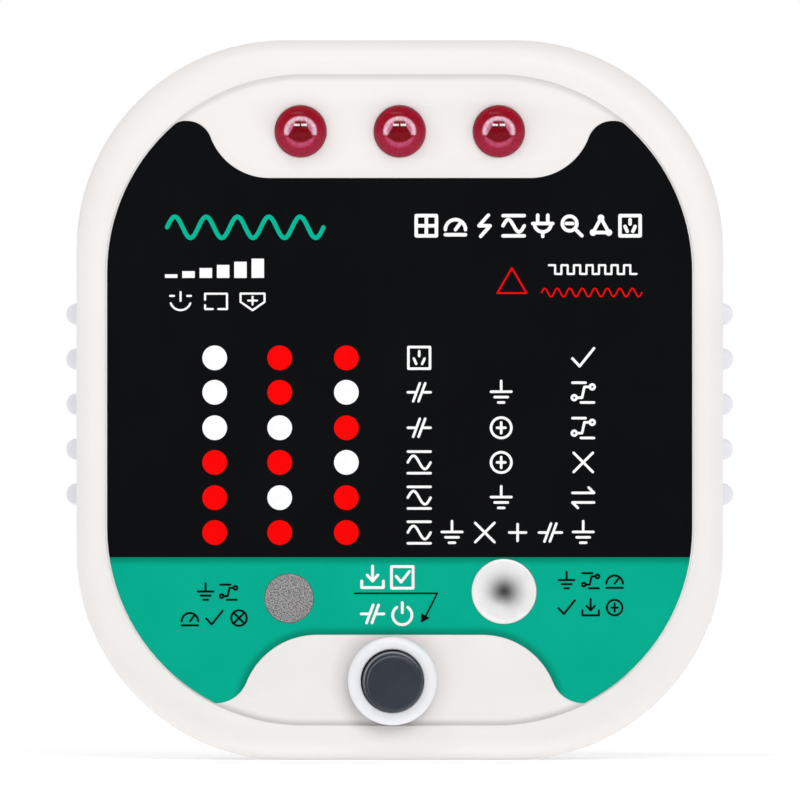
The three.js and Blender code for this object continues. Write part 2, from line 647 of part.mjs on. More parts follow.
function testButton() {
  const group = new THREE.Group();
  group.position.set(BUTTON.x, 0, BUTTON.z);
  group.add(
    buttonCollar(),
    buttonCap(),
    switchPlunger(),
    movingContact(),
    fixedContact(-1, "rcd_fixed_contact_left"),
    fixedContact(1, "rcd_fixed_contact_right"),
    switchHousing(),
    mesh("rcd_button_spring", coilSpring(BUTTON_SPRING), SPRING_STEEL),
  );
  return group;
}

// ---- Circuit board and its components ----

// Where the two leads of an axial component meet the board, along Z from its middle.
function leadOffset(halfLength) {
  return halfLength + LEAD.reach;
}

function circuitBoard() {
  const frontCut = BOARD_FRONT_Y - OVERCUT;
  const backCut = BOARD_BACK_Y + OVERCUT;
  const drill = (radius, x, z, sides) => rod(radius, frontCut, backCut, x, z, sides);
  const ledLegs = ledPlaces().flatMap(([x]) =>
    leftAndRight(LEG.spacing / 2, LED.z).map(([dx, z]) => [x + dx, z]));
  const neonLegs = leftAndRight(NEON.neckRadius / 2, WINDOW.z).map(([dx, z]) => [WINDOW.x + dx, z]);
  const axialLeads = ledPlaces().flatMap(([x]) => [
    [x, RESISTOR.z - leadOffset(RESISTOR.halfLength)],
    [x, RESISTOR.z + leadOffset(RESISTOR.halfLength)],
    [x, DIODE.z - leadOffset(DIODE.halfLength)],
    [x, DIODE.z + leadOffset(DIODE.halfLength)],
  ]);
  const touchLeads = leftAndRight(leadOffset(RESISTOR.halfLength), TOUCH_RESISTOR.z);
  const loadLeads = leftAndRight(LOAD_LEAD.x, LOAD_RESISTOR.z);
  const cutters = [
    ...fourCorners(SCREW_BOSS.x, SCREW_BOSS.z).map(([x, z]) => drill(BOARD.bossNotch, x, z, ROUND_STEPS)),
    ...leftAndRight(BOARD_POST.x, BOARD_POST.z).map(([x, z]) =>
      drill(BOARD_POST.clearHole, x, z, SMALL_STEPS)),
    ...ledLegs.map(([x, z]) => drill(LEG.hole, x, z, LEAD_SIDES)),
    ...neonLegs.map(([x, z]) => block(LEG.width, LEG.width, frontCut, backCut, x, z)),
    ...axialLeads.map(([x, z]) => drill(LEAD.hole, x, z, LEAD_SIDES)),
    ...touchLeads.map(([x, z]) => drill(LEAD.hole, x, z, LEAD_SIDES)),
    ...loadLeads.map(([x, z]) => drill(LEAD.hole, x, z, LEAD_SIDES)),
    ...[-1, 1].map((side) => block(FIXED_CONTACT.slot / 2, FIXED_CONTACT.slot / 2, frontCut, backCut,
      BUTTON.x + side * FIXED_CONTACT.x, BUTTON.z)),
  ];
  const blank = roundedPlate(BOARD, BOARD_FRONT_Y, BOARD_BACK_Y);
  return mesh("circuit_board", carved(blank, [], cutters), BOARD_GREEN);
}

// A component lying along Z in front of the board, with its leads bent down into it.
function axialComponent(body, halfLength, y) {
  const leads = [-1, 1].map((side) => {
    const start = new THREE.Vector3(0, y, side * (halfLength - LEAD.inside));
    const bend = new THREE.Vector3(0, y, side * leadOffset(halfLength));
    const end = new THREE.Vector3(0, LEAD.endY, side * leadOffset(halfLength));
    return tube(new THREE.QuadraticBezierCurve3(start, bend, end), LEAD.radius, LEAD_SIDES, LEAD.steps);
  });
  return carved(body.rotateX(QUARTER_TURN).translate(0, y, 0), leads, []);
}

function resistorGeometry() {
  const { halfLength, endRadius, waistRadius, bulb } = RESISTOR;
  const body = turned([
    [0, -halfLength],
    [endRadius, -halfLength],
    [endRadius, bulb - halfLength],
    [waistRadius, 2 * bulb - halfLength],
    [waistRadius, halfLength - 2 * bulb],
    [endRadius, halfLength - bulb],
    [endRadius, halfLength],
    [0, halfLength],
  ], SMALL_STEPS);
  return axialComponent(body, halfLength, RESISTOR.y);
}

function diodeGeometry() {
  const { halfLength, radius, edge } = DIODE;
  const body = turned([
    [0, -halfLength],
    [radius - edge, -halfLength],
    [radius, edge - halfLength],
    [radius, halfLength - edge],
    [radius - edge, halfLength],
    [0, halfLength],
  ], SMALL_STEPS);
  return axialComponent(body, halfLength, DIODE.y);
}

function smallComponents() {
  const resistor = resistorGeometry();
  const diode = diodeGeometry();
  const touchPlace = [TOUCH_RESISTOR.x, 0, TOUCH_RESISTOR.z];
  const touchResistor = mesh("touch_resistor", resistor, RESISTOR_BLUE, touchPlace);
  touchResistor.rotation.y = QUARTER_TURN;
  return [
    touchResistor,
    ...ledPlaces().flatMap(([x, side]) => [
      mesh(`led_resistor_${side}`, resistor, RESISTOR_BLUE, [x, 0, RESISTOR.z]),
      mesh(`led_diode_${side}`, diode, DIODE_BLACK, [x, 0, DIODE.z]),
    ]),
  ];
}

function loadResistor() {
  const { x, z, halfLength, halfHeight, frontY, backY } = LOAD_RESISTOR;
  const body = block(halfLength, halfHeight, frontY, backY);
  const leads = leftAndRight(LOAD_LEAD.x, 0).map(([dx]) =>
    rod(LOAD_LEAD.radius, LOAD_LEAD.endY, frontY + OVERCUT, dx, 0, LEAD_SIDES));
  return mesh("rcd_load_resistor", carved(body, leads, []), CEMENT_WHITE, [x, 0, z]);
}

// ---- Plug pins, retainer and wires ----

// Each blade's place on its orbit round the plug's centre, and the direction of its width.
function bladePlaces() {
  const thirdTurn = FULL_TURN / 3;
  return [
    { name: "earth", angle: QUARTER_TURN, ...EARTH_PIN },
    { name: "live", angle: QUARTER_TURN - thirdTurn, ...PHASE_PIN },
    { name: "neutral", angle: QUARTER_TURN + thirdTurn, ...PHASE_PIN },
  ].map((pin) => ({
    ...pin,
    x: pin.orbit * Math.cos(pin.angle),
    z: pin.orbit * Math.sin(pin.angle),
    turn: pin.name === "earth" ? QUARTER_TURN : -pin.angle - QUARTER_TURN,
  }));
}

// A box round a blade's width and thickness with a gap on every side.
function bladeSlot({ x, z, turn }, width, gap, frontY, backY) {
  const box = block(width / 2 + gap, BLADE.thickness / 2 + gap, frontY, backY);
  return box.rotateY(turn).translate(x, 0, z);
}

function bladeOutline(length) {
  const half = BLADE.width / 2;
  const shoulder = BLADE_SHOULDER.width / 2;
  const tail = BLADE_TAIL.width / 2;
  const right = [
    [tail, BLADE_TAIL.endY],
    [tail, BLADE_SHOULDER.frontY],
    [shoulder, BLADE_SHOULDER.frontY],
    [shoulder, BLADE_SHOULDER.backY],
    [half, BLADE_SHOULDER.backY],
    [half, length - BLADE.tipLength],
    [half - BLADE.tipTaper, length],
  ].map(([x, y]) => new THREE.Vector2(x, y));
  const left = right.map((point) => new THREE.Vector2(-point.x, point.y)).reverse();
  return new THREE.Shape([...right, ...left]);
}

function bladePin(place) {
  const flat = BLADE.thickness - 2 * BLADE.bevel;
  const geometry = new THREE.ExtrudeGeometry(bladeOutline(place.length), {
    depth: flat,
    bevelThickness: BLADE.bevel,
    bevelSize: BLADE.bevel,
    bevelOffset: -BLADE.bevel,
    bevelSegments: 1,
  });
  const pin = mesh(`${place.name}_pin`, geometry.translate(0, 0, -flat / 2), BRASS, [place.x, 0, place.z]);
  pin.rotation.y = place.turn;
  return pin;
}

function pinRetainer() {
  const frontCut = RETAINER.frontY - OVERCUT;
  const backCut = RETAINER.backY + OVERCUT;
  const cutters = [
    ...bladePlaces().map((place) =>
      bladeSlot(place, BLADE_TAIL.width, BLADE_TAIL.slotGap, frontCut, backCut)),
    ...leftAndRight(RETAINER_POST.x, RETAINER_POST.z).map(([x, z]) =>
      rod(RETAINER_HOLES.clear, frontCut, backCut, x, z, SMALL_STEPS)),
  ];
  const blank = roundedPlate(RETAINER, RETAINER.frontY, RETAINER.backY, RETAINER.z);
  return mesh("pin_retainer", carved(blank, [], cutters), RETAINER_BLACK);
}

function wireFrom(place, material) {
  const [padX, padZ] = WIRE_PADS[place.name];
  const middleY = (WIRE.startY + WIRE.endY) / 2;
  const curve = new THREE.CatmullRomCurve3([
    new THREE.Vector3(place.x, WIRE.startY, place.z),
    new THREE.Vector3(place.x, WIRE.startY - WIRE.straight, place.z),
    new THREE.Vector3((place.x + padX) / 2, middleY, (place.z + padZ) / 2),
    new THREE.Vector3(padX, WIRE.endY + WIRE.straight, padZ),
    new THREE.Vector3(padX, WIRE.endY, padZ),
  ]);
  return mesh(`${place.name}_wire`, tube(curve, WIRE.radius, WIRE.sides, WIRE.steps), material);
}

function plug() {
  const [earth, live, neutral] = bladePlaces();
  return [
    bladePin(earth),
    bladePin(live),
    bladePin(neutral),
    pinRetainer(),
    wireFrom(earth, EARTH_GREEN),
    wireFrom(live, LIVE_BROWN),
    wireFrom(neutral, NEUTRAL_BLUE),
  ];
}

// ---- Screws ----

// A screw with its head at the back and its point towards the front, or the other way round when
// its point lies behind its seat. The cross recess is cut into the head.
function screwGeometry({ radius, headRadius, headDepth, seatY, tipY, point }) {
  const away = tipY < seatY ? 1 : -1;
  const topY = seatY + away * headDepth;
  const profile = [
    [0, tipY],
    [radius / 2, tipY],
    [radius, tipY + away * point],
    [radius, seatY],
    [headRadius, seatY],
    [headRadius, topY - away * SCREW_HEAD.crown],
    [headRadius * SCREW_HEAD.recessReach, topY],
    [0, topY],
  ];
  const reach = headRadius * SCREW_HEAD.recessReach;
  const floorY = topY - away * SCREW_HEAD.recessDepth;
  const openY = topY + away * OVERCUT;
  const slot = (halfX, halfZ) => block(halfX, halfZ, Math.min(floorY, openY), Math.max(floorY, openY));
  const recess = [slot(reach, SCREW_HEAD.recessWidth / 2), slot(SCREW_HEAD.recessWidth / 2, reach)];
  const body = turned(away > 0 ? profile : profile.reverse(), SMALL_STEPS);
  return carved(body, [], recess);
}

function screws() {
  const caseScrew = screwGeometry(CASE_SCREW);
  const boardScrew = screwGeometry(BOARD_SCREW);
  const retainerScrew = screwGeometry(RETAINER_SCREW);
  const corners = ["top_left", "top_right", "bottom_left", "bottom_right"];
  const sides = ["left", "right"];
  return [
    ...fourCorners(SCREW_BOSS.x, SCREW_BOSS.z).map(([x, z], i) =>
      mesh(`case_screw_${corners[i]}`, caseScrew, ZINC_STEEL, [x, CLEARANCE, z])),
    ...leftAndRight(BOARD_POST.x, BOARD_POST.z).map(([x, z], i) =>
      mesh(`board_screw_${sides[i]}`, boardScrew, ZINC_STEEL, [x, 0, z])),
    ...leftAndRight(RETAINER_POST.x, RETAINER_POST.z).map(([x, z], i) =>
      mesh(`retainer_screw_${sides[i]}`, retainerScrew, ZINC_STEEL, [x, 0, z])),
  ];
}

// ---- Assembly ----

const tester = new THREE.Group();
tester.add(
  frontShell(),
  rearShell(),
  faceLabel(),
  ...leds(),
  lampWindow(),
  neonLamp(),
  touchContact(),
  touchSpring(),
  testButton(),
  circuitBoard(),
  ...smallComponents(),
  loadResistor(),
  ...plug(),
  ...screws(),
);

export default tester;
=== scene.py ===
"""Looks for the outlet tester plug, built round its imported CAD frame. Lengths are in millimetres until
a mesh is finished, and then in metres. The face looks towards -Y, the pins point to +Y and +Z is up."""
import math

import bmesh
import bpy
from mathutils import Matrix, Vector
from mathutils.geometry import delaunay_2d_cdt


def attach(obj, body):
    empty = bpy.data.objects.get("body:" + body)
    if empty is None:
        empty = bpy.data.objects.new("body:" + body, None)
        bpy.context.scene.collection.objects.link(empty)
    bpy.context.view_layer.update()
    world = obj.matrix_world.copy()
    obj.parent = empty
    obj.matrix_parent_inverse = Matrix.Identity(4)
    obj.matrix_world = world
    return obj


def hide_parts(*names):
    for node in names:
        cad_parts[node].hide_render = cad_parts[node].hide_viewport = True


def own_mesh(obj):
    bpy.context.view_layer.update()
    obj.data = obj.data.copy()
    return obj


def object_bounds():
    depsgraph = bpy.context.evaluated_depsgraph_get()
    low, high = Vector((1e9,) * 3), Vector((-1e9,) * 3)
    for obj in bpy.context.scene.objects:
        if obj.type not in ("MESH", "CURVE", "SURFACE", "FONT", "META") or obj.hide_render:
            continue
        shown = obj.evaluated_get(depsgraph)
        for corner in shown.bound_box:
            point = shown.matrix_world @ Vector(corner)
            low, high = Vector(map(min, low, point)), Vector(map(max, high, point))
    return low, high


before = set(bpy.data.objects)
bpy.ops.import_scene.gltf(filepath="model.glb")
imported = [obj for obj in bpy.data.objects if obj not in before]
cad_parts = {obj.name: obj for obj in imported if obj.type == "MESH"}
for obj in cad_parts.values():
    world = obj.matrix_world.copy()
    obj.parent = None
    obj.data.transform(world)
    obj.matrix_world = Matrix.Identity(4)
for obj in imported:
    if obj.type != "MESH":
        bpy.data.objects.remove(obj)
CAD_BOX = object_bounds()

MM = 0.001
QUARTER = math.pi / 2
TURN = math.pi * 2
WHITE = (1, 1, 1, 1)

# ---- Dimensions shared with the CAD ----

# Rounded rectangles by half width, half height and corner radius.
BODY = (31, 34.5, 20)
PANEL = (28.15, 31.15, 18.95)
LABEL = (28.04, 31.05, 18.8)
PLUG_BOSS = (19, 18, 9)
# Stations from front to back.
RIM_Y, PANEL_Y, LABEL_FRONT_Y, POCKET_FLOOR_Y, PANEL_BACK_Y = -32, -31.5, -31.45, -31.1, -29.4
PARTING_Y, REAR_INSIDE_Y, BACK_Y = -16, -5, -2.5
WALL, INNER_FILLET, CLEARANCE = 2.2, 1.2, 0.05
# The lap joint between the shells: its place in from the side, its height and the eased edge.
LAP_INSET, TONGUE, RABBET, SEAM_EDGE = 1.2, 1.1, 1.2, 0.3
# The rim: its crest as a share of the way from the body's edge to the panel's, the fall to each side.
CREST, EDGE_DEPTH, INNER_DROP = 0.62, 2.8, 0.22
# The outward corner of a notch is its tip and horn, and the inward one its round.
TOP_NOTCH = {"flat_z": 21.28, "flat_half": 12.5, "round": 6, "horn": 2.4, "horn_z": 26.75, "tip": 1.5}
BOTTOM_NOTCH = {"flat_z": 22.5, "flat_half": 7.93, "round": 7.3, "horn": 3.1, "horn_z": 29.05, "tip": 0.5}
SPLIT_Z = -15.07
LED_X, LED_Z, LED_R, LED_TIP_Y = (-9.5, 0, 9.5), 25.75, 2.5, -33
# Round things on the face by x, z and radius.
WINDOW = (-10.6, -19, 2.36)
CONTACT = (10, -18.35, 3.14)
BUTTON = (-0.7, -26.9)
COLLAR_HOLE, COLLAR_BORE, COLLAR_R, COLLAR_Y = 3.7, 3.0, 4.25, -34.2
SPRING_R, SPRING_WIRE, SPRING_TURNS, SPRING_FRONT_Y, SPRING_BACK_Y = 1.85, 0.16, 3, -27.8, -25.4
RIB = {"root": 30, "foot": 30.8, "crown": 1.35, "height": 1.06, "pitch": 4.34, "middle_z": -0.4}
# Each pin's angle round the plug, its distance from the middle and its length.
PINS = {"earth": (QUARTER, 10.31, 21), "live": (QUARTER - TURN / 3, 7.92, 18),
        "neutral": (QUARTER + TURN / 3, 7.92, 18)}
SCREW_X, SCREW_Z = 20, 23.5
BOARD_POST_X, BOARD_POST_Z = 23, 2
RETAINER_POST_X, RETAINER_POST_Z = 10.4, 9.5
POST_HOLE = 1.1

# ---- Dimensions of the looks alone ----

# How far a cutter reaches past what it cuts.
OPEN = 1.0
# The gap that shows round a lens, and round the window and the contact.
LENS_GAP, DISC_GAP = 0.01, 0.02
LENS_RISE = 1.6
# The cap leans into the lower right of its bore, and its face sits further that way.
CAP_PLAY, CAP_SHIFT = 0.045, (0.1, -0.15)


# ---- Mesh tools ----

def outline_ring(size, steps=24, inset=0.0):
    """A rounded rectangle as (x, z) points, given its half sizes and corner radius."""
    half_w, half_h, radius = (value - inset for value in size)
    points = []
    for quadrant, (side, rise) in enumerate(((1, 1), (-1, 1), (-1, -1), (1, -1))):
        for step in range(steps + 1):
            angle = (quadrant + step / steps) * QUARTER
            points.append((side * (half_w - radius) + radius * math.cos(angle),
                           rise * (half_h - radius) + radius * math.sin(angle)))
    return points


def mix(a, b, part):
    return a + (b - a) * part


def tube(loops):
    """A skin through loops of places, each with as many as the others, closed at both ends."""
    mesh = bmesh.new()
    loops = [[mesh.verts.new(place) for place in loop] for loop in loops]
    count = len(loops[0])
    for first, second in zip(loops, loops[1:]):
        for i in range(count):
            j = (i + 1) % count
            mesh.faces.new((first[i], first[j], second[j], second[i]))
    mesh.faces.new(loops[0][::-1])
    mesh.faces.new(loops[-1])
    bmesh.ops.recalc_face_normals(mesh, faces=mesh.faces)
    return mesh


def quarter(steps):
    """The cosine and sine at each step of a quarter turn."""
    angles = [step / steps * QUARTER for step in range(steps + 1)]
    return [(math.cos(angle), math.sin(angle)) for angle in angles]


def lofted(rings):
    """A tube through rings across Y, each a (y, points) pair."""
    return tube([[(x, y, z) for x, z in points] for y, points in rings])


def turned(profile, steps=64, x=0.0, z=0.0, closed=False):
    """A body turned about Y through (x, z). The profile is (radius, y) pairs; one that doesn't close on
    itself starts and ends on the axis."""
    mesh = bmesh.new()
    rows = []
    for radius, y in profile:
        if radius < 1e-6:
            rows.append([mesh.verts.new((x, y, z))])
        else:
            rows.append([mesh.verts.new((x + radius * math.cos(TURN * i / steps), y,
                                         z + radius * math.sin(TURN * i / steps))) for i in range(steps)])
    pairs = list(zip(rows, rows[1:] + rows[:1])) if closed else list(zip(rows, rows[1:]))
    for first, second in pairs:
        for i in range(steps):
            j = (i + 1) % steps
            around = [first[i % len(first)], first[j % len(first)], second[j % len(second)],
                      second[i % len(second)]]
            unique = list(dict.fromkeys(around))
            if len(unique) > 2:
                mesh.faces.new(unique)
    bmesh.ops.recalc_face_normals(mesh, faces=mesh.faces)
    return mesh


def rod(radius, front, back, x=0.0, z=0.0, steps=48):
    return turned([(0, front), (radius, front), (radius, back), (0, back)], steps, x, z)


def block(half_x, half_z, front, back, x=0.0, z=0.0, turn=0.0):
    """A box by its half sizes across X and Z and its stations along Y, turned about Y."""
    c, s = math.cos(turn), math.sin(turn)
    square = [(-half_x, -half_z), (half_x, -half_z), (half_x, half_z), (-half_x, half_z)]
    points = [(x + c * dx - s * dz, z + s * dx + c * dz) for dx, dz in square]
    return lofted([(front, points), (back, points)])


def holder(mesh, name="work"):
    data = bpy.data.meshes.new(name)
    mesh.to_mesh(data)
    mesh.free()
    thing = bpy.data.objects.new(name, data)
    bpy.context.scene.collection.objects.link(thing)
    return thing


def baked(thing):
    """The object's mesh with its modifiers applied, as bmesh; the object goes."""
    graph = bpy.context.evaluated_depsgraph_get()
    data = bpy.data.meshes.new_from_object(thing.evaluated_get(graph))
    mesh = bmesh.new()
    mesh.from_mesh(data)
    bpy.data.meshes.remove(data)
    bpy.data.objects.remove(thing)
    return mesh


def carved(base, added=(), cut=()):
    """The base with every added body joined on and every cutter taken away."""
    thing = holder(base)
    tools = []
    for operation, bodies in (("UNION", added), ("DIFFERENCE", cut)):
        for body in bodies:
            tool = holder(body)
            tools.append(tool)
            step = thing.modifiers.new("step", "BOOLEAN")
            step.operation = operation
            step.solver = "MANIFOLD"
            step.object = tool
    mesh = baked(thing)
    for tool in tools:
        bpy.data.objects.remove(tool)
    return mesh


def bevelled(mesh, width, segments=3, angle=30):
    thing = holder(mesh)
    step = thing.modifiers.new("edge", "BEVEL")
    step.width = width
    step.segments = segments
    step.limit_method = "ANGLE"
    step.angle_limit = math.radians(angle)
    return baked(thing)


def joined(meshes):
    """Several bmeshes as one."""
    total = bmesh.new()
    for mesh in meshes:
        data = bpy.data.meshes.new("part")
        mesh.to_mesh(data)
        mesh.free()
        total.from_mesh(data)
        bpy.data.meshes.remove(data)
    return total


def piece(name, mesh, materials, body, replaces=(), sharp=35, at=(0, 0, 0)):
    """Finishes a bmesh in millimetres, made round the point at, as a named piece that rides on a body."""
    bmesh.ops.remove_doubles(mesh, verts=mesh.verts, dist=1e-5)
    data = bpy.data.meshes.new(name)
    mesh.to_mesh(data)
    mesh.free()
    data.transform(Matrix.Scale(MM, 4))
    data.shade_smooth()
    data.set_sharp_from_angle(angle=math.radians(sharp))
    for material in materials:
        data.materials.append(material)
    thing = bpy.data.objects.new(name, data)
    thing.location = Vector(at) * MM
    bpy.context.scene.collection.objects.link(thing)
    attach(thing, body)
    if replaces:
        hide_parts(*replaces)
    return thing


# ---- Material tools ----

class Nodes:
    """A node tree with short ways to add to it."""

    def __init__(self, tree):
        self.tree = tree

    def add(self, kind, inputs=None, **settings):
        node = self.tree.nodes.new("ShaderNode" + kind)
        for key, value in settings.items():
            setattr(node, key, value)
        for key, value in (inputs or {}).items():
            if isinstance(value, bpy.types.NodeSocket):
                self.tree.links.new(value, node.inputs[key])
            else:
                node.inputs[key].default_value = value
        return node

    def remap(self, value, low, high, to_low, to_high, smooth=False):
        node = self.add("MapRange", {"Value": value, "From Min": low, "From Max": high,
                                     "To Min": to_low, "To Max": to_high})
        if smooth:
            node.interpolation_type = "SMOOTHSTEP"
        return node.outputs["Result"]

    def math(self, operation, a, b=0.0):
        return self.add("Math", {0: a, 1: b}, operation=operation).outputs[0]

    def length(self, a, b):
        """The length of (a, b)."""
        return self.math("SQRT", self.math("ADD", self.math("MULTIPLY", a, a), self.math("MULTIPLY", b, b)))

    def split(self, vector=None):
        return self.add("SeparateXYZ", {"Vector": vector or self.place()}).outputs

    def place(self, scale=None, turn=(0, 0, 0)):
        """Object coordinates in metres, turned and scaled."""
        coordinates = self.add("TexCoord").outputs["Object"]
        if scale is None:
            return coordinates
        return self.add("Mapping", {"Vector": coordinates, "Scale": scale, "Rotation": turn}).outputs[0]


class Shader(Nodes):
    """A node material on one Principled shader. Sockets named in `plain` are set on the shader itself."""

    def __init__(self, name, **plain):
        self.material = bpy.data.materials.new(name)
        self.material.use_nodes = True
        super().__init__(self.material.node_tree)
        self.principled = self.tree.nodes["Principled BSDF"]
        for key, value in plain.items():
            self.principled.inputs[key.replace("_", " ")].default_value = value

    def feed(self, socket, value):
        self.tree.links.new(value, self.principled.inputs[socket])

    def noise(self, size, detail=2.0, rough=0.5, vector=None):
        """Noise whose lumps are about size millimetres across."""
        inputs = {"Scale": 1 / (size * MM), "Detail": detail, "Roughness": rough}
        inputs["Vector"] = vector or self.place()
        return self.add("TexNoise", inputs).outputs["Fac"]

    def spread(self, value, low, high):
        """A noise's middle part, stretched from low to high."""
        return self.remap(value, 0.3, 0.7, low, high)

    def blend(self, factor, a, b):
        node = self.add("Mix", data_type="RGBA")
        for index, value in ((0, factor), (6, a), (7, b)):
            if isinstance(value, bpy.types.NodeSocket):
                self.tree.links.new(value, node.inputs[index])
            else:
                node.inputs[index].default_value = (*value, 1)
        return node.outputs[2]

    def cloudy(self, size, a, b, detail=3):
        """A colour that drifts between two in lumps of size millimetres."""
        return self.blend(self.spread(self.noise(size, detail), 0, 1), a, b)

    def scaled(self, colour, factor):
        return self.add("VectorMath", {0: colour, "Scale": factor}, operation="SCALE").outputs[0]

    def bump(self, height, strength, depth):
        """Bump whose full height is depth millimetres."""
        node = self.add("Bump", {"Height": height, "Strength": strength, "Distance": depth * MM})
        self.feed("Normal", node.outputs[0])

    def surface(self, colour, gloss, roughness, relief, strength, depth):
        """The finished material. Its roughness runs from low to high over the noise gloss."""
        self.feed("Base Color", colour)
        self.feed("Roughness", self.spread(gloss, *roughness))
        self.bump(relief, strength, depth)
        return self.material


def moulded(name, colour, shade, roughness, grain=0.16, grain_depth=0.004, patch=14, light_paint=None, **plain):
    """Moulded plastic: a faint cloudiness in its colour, uneven gloss and a fine eroded grain. The optional
    colour function, if there is one, paints shade or highlights into the colour."""
    shader = Shader(name, **plain)
    base = shader.cloudy(patch, colour, shade)
    return shader.surface(light_paint(shader, base) if light_paint else base, shader.noise(patch / 3, 4, 0.6),
                          (roughness - 0.05, roughness + 0.05), shader.noise(grain), 0.6, grain_depth)


def metal(name, colour, shade, roughness, size=0.5, stretch=(1, 1, 1), depth=0.002):
    """Plated or drawn metal with fine marks."""
    shader = Shader(name, Metallic=1.0)
    tone = shader.cloudy(size * 6, colour, shade)
    marks = shader.noise(size, 3, 0.6, shader.place(stretch))
    return shader.surface(tone, marks, (roughness - 0.07, roughness + 0.07), marks, 0.5, depth)


def srgb(red, green, blue):
    """A display colour, 0 to 255, in linear light."""
    def linear(value):
        value /= 255
        return value / 12.92 if value <= 0.04045 else ((value + 0.055) / 1.055) ** 2.4
    return linear(red), linear(green), linear(blue)


# ---- Camera, light and floor ----

def look(thing, target):
    direction = Vector(target) - thing.location
    thing.rotation_mode = "QUATERNION"
    thing.rotation_quaternion = direction.to_track_quat("-Z", "Y")


def make_camera():
    distance, frame_width, sensor = 2.75, 76.67 * MM, 36
    x, face_y = 0.03 * MM, PANEL_Y * MM
    data = bpy.data.cameras.new("camera")
    data.sensor_width = sensor
    data.lens = sensor * distance / frame_width
    data.clip_start, data.clip_end = 0.1, 40
    camera = bpy.data.objects.new("camera", data)
    camera.location = (x, face_y - distance, 0)
    bpy.context.scene.collection.objects.link(camera)
    look(camera, (x, face_y, 0))
    bpy.context.scene.camera = camera


def make_world():
    """A pale studio tent: dim behind the camera, bright round it and above. The camera sees plain white."""
    world = bpy.data.worlds.new("studio")
    bpy.context.scene.world = world
    world.use_nodes = True
    world.node_tree.nodes.clear()
    nodes = Nodes(world.node_tree)
    direction = nodes.split(nodes.add("TexCoord").outputs["Generated"])
    front = nodes.remap(direction["Y"], -0.97, -0.8, 0.03, 0.63, smooth=True)
    above = nodes.remap(direction["Z"], -0.5, 0.9, 0.95, 1.1, smooth=True)
    tent = nodes.add("Background", {"Color": WHITE, "Strength": nodes.math("MULTIPLY", front, above)})
    seen = nodes.add("Background", {"Color": WHITE})
    by_camera = nodes.add("LightPath").outputs["Is Camera Ray"]
    chosen = nodes.add("MixShader", {0: by_camera, 1: tent.outputs[0], 2: seen.outputs[0]})
    nodes.add("OutputWorld", {0: chosen.outputs[0]})


def softbox(name, location, target, width, height, power):
    data = bpy.data.lights.new(name, "AREA")
    data.shape = "RECTANGLE"
    data.size, data.size_y, data.energy = width, height, power
    lamp = bpy.data.objects.new(name, data)
    lamp.location = location
    lamp.visible_camera = False
    bpy.context.scene.collection.objects.link(lamp)
    look(lamp, target)


def make_floor():
    """A pale floor that glows more with distance, behind most of all, so that no horizon shows."""
    half, gap = 1.6, 0.00002
    glow_near, glow_far, side_share = 0.31, 1.0, 0.6
    z = CAD_BOX[0].z - gap
    data = bpy.data.meshes.new("floor")
    data.from_pydata([(-half, -half, z), (half, -half, z), (half, half, z), (-half, half, z)], [],
                     [(0, 1, 2, 3)])
    floor = bpy.data.objects.new("floor", data)
    bpy.context.scene.collection.objects.link(floor)
    shader = Shader("pale_floor", Roughness=0.9, Emission_Color=WHITE)
    shader.feed("Base Color", shader.blend(shader.noise(40), (0.86, 0.86, 0.86), (0.9, 0.9, 0.9)))
    x, y, _ = shader.split()
    reach = shader.length(shader.math("MULTIPLY", x, side_share), shader.math("MAXIMUM", y, 0.0))
    shader.feed("Emission Strength", shader.remap(reach, 0.05, 0.4, glow_near, glow_far, smooth=True))
    data.materials.append(shader.material)


make_camera()
make_world()
softbox("key", (0.12, -0.7, 0.3), (0, -0.02, 0), 0.3, 0.3, 1.03)
softbox("overhead", (-0.1, -0.25, 0.55), (0, -0.03, 0), 0.35, 0.1, 0.5)
make_floor()
bpy.context.scene.view_settings.view_transform = "Standard"


# ---- Outlines ----

def notch_side(notch, inset, steps):
    """One side of a notch, from the horn down to the flat, as (x, z) points with z up the label."""
    corner, horn = notch["round"] + inset, notch["horn"] - inset
    corner_z = notch["flat_z"] - inset + corner
    horn_z = notch["horn_z"] - inset - horn
    half = notch["flat_half"]
    horn_x = half + math.sqrt((corner + horn) ** 2 - (corner_z - horn_z) ** 2)
    lean = math.atan2(corner_z - horn_z, half - horn_x)
    points = []
    for step in range(steps + 1):
        angle = mix(QUARTER, lean, step / steps)
        points.append((horn_x + horn * math.cos(angle), horn_z + horn * math.sin(angle)))
    for step in range(1, steps + 1):
        angle = mix(lean - math.pi, -QUARTER, step / steps)
        points.append((half + corner * math.cos(angle), corner_z + corner * math.sin(angle)))
    return points


def label_quarter(notch, inset, steps):
    """The label's edge from the middle of its side, round the corner and down into a notch, with z up."""
    half_w, half_h, radius = (value - inset for value in LABEL)
    middle_x, middle_z = half_w - radius, half_h - radius
    tip = notch["tip"] - inset
    tip_z = notch["horn_z"] - inset - tip
    end = math.asin((tip_z - middle_z) / (radius - tip))
    tip_x = middle_x + (radius - tip) * math.cos(end)
    points = []
    for x, z, size, start, stop in ((middle_x, middle_z, radius, 0, end), (tip_x, tip_z, tip, end, QUARTER)):
        for step in range(steps + 1):
            angle = mix(start, stop, step / steps)
            points.append((x + size * math.cos(angle), z + size * math.sin(angle)))
    return points + notch_side(notch, inset, steps)


def label_outline(inset, steps=18):
    right = [(x, -z) for x, z in reversed(label_quarter(BOTTOM_NOTCH, inset, steps))]
    right += label_quarter(TOP_NOTCH, inset, steps)
    full = right + [(-x, z) for x, z in reversed(right)]
    return [p for i, p in enumerate(full) if math.dist(p, full[i - 1]) > 1e-4]


def circle(x, z, radius, steps=48):
    return [(x + radius * math.cos(TURN * i / steps), z + radius * math.sin(TURN * i / steps))
            for i in range(steps)]


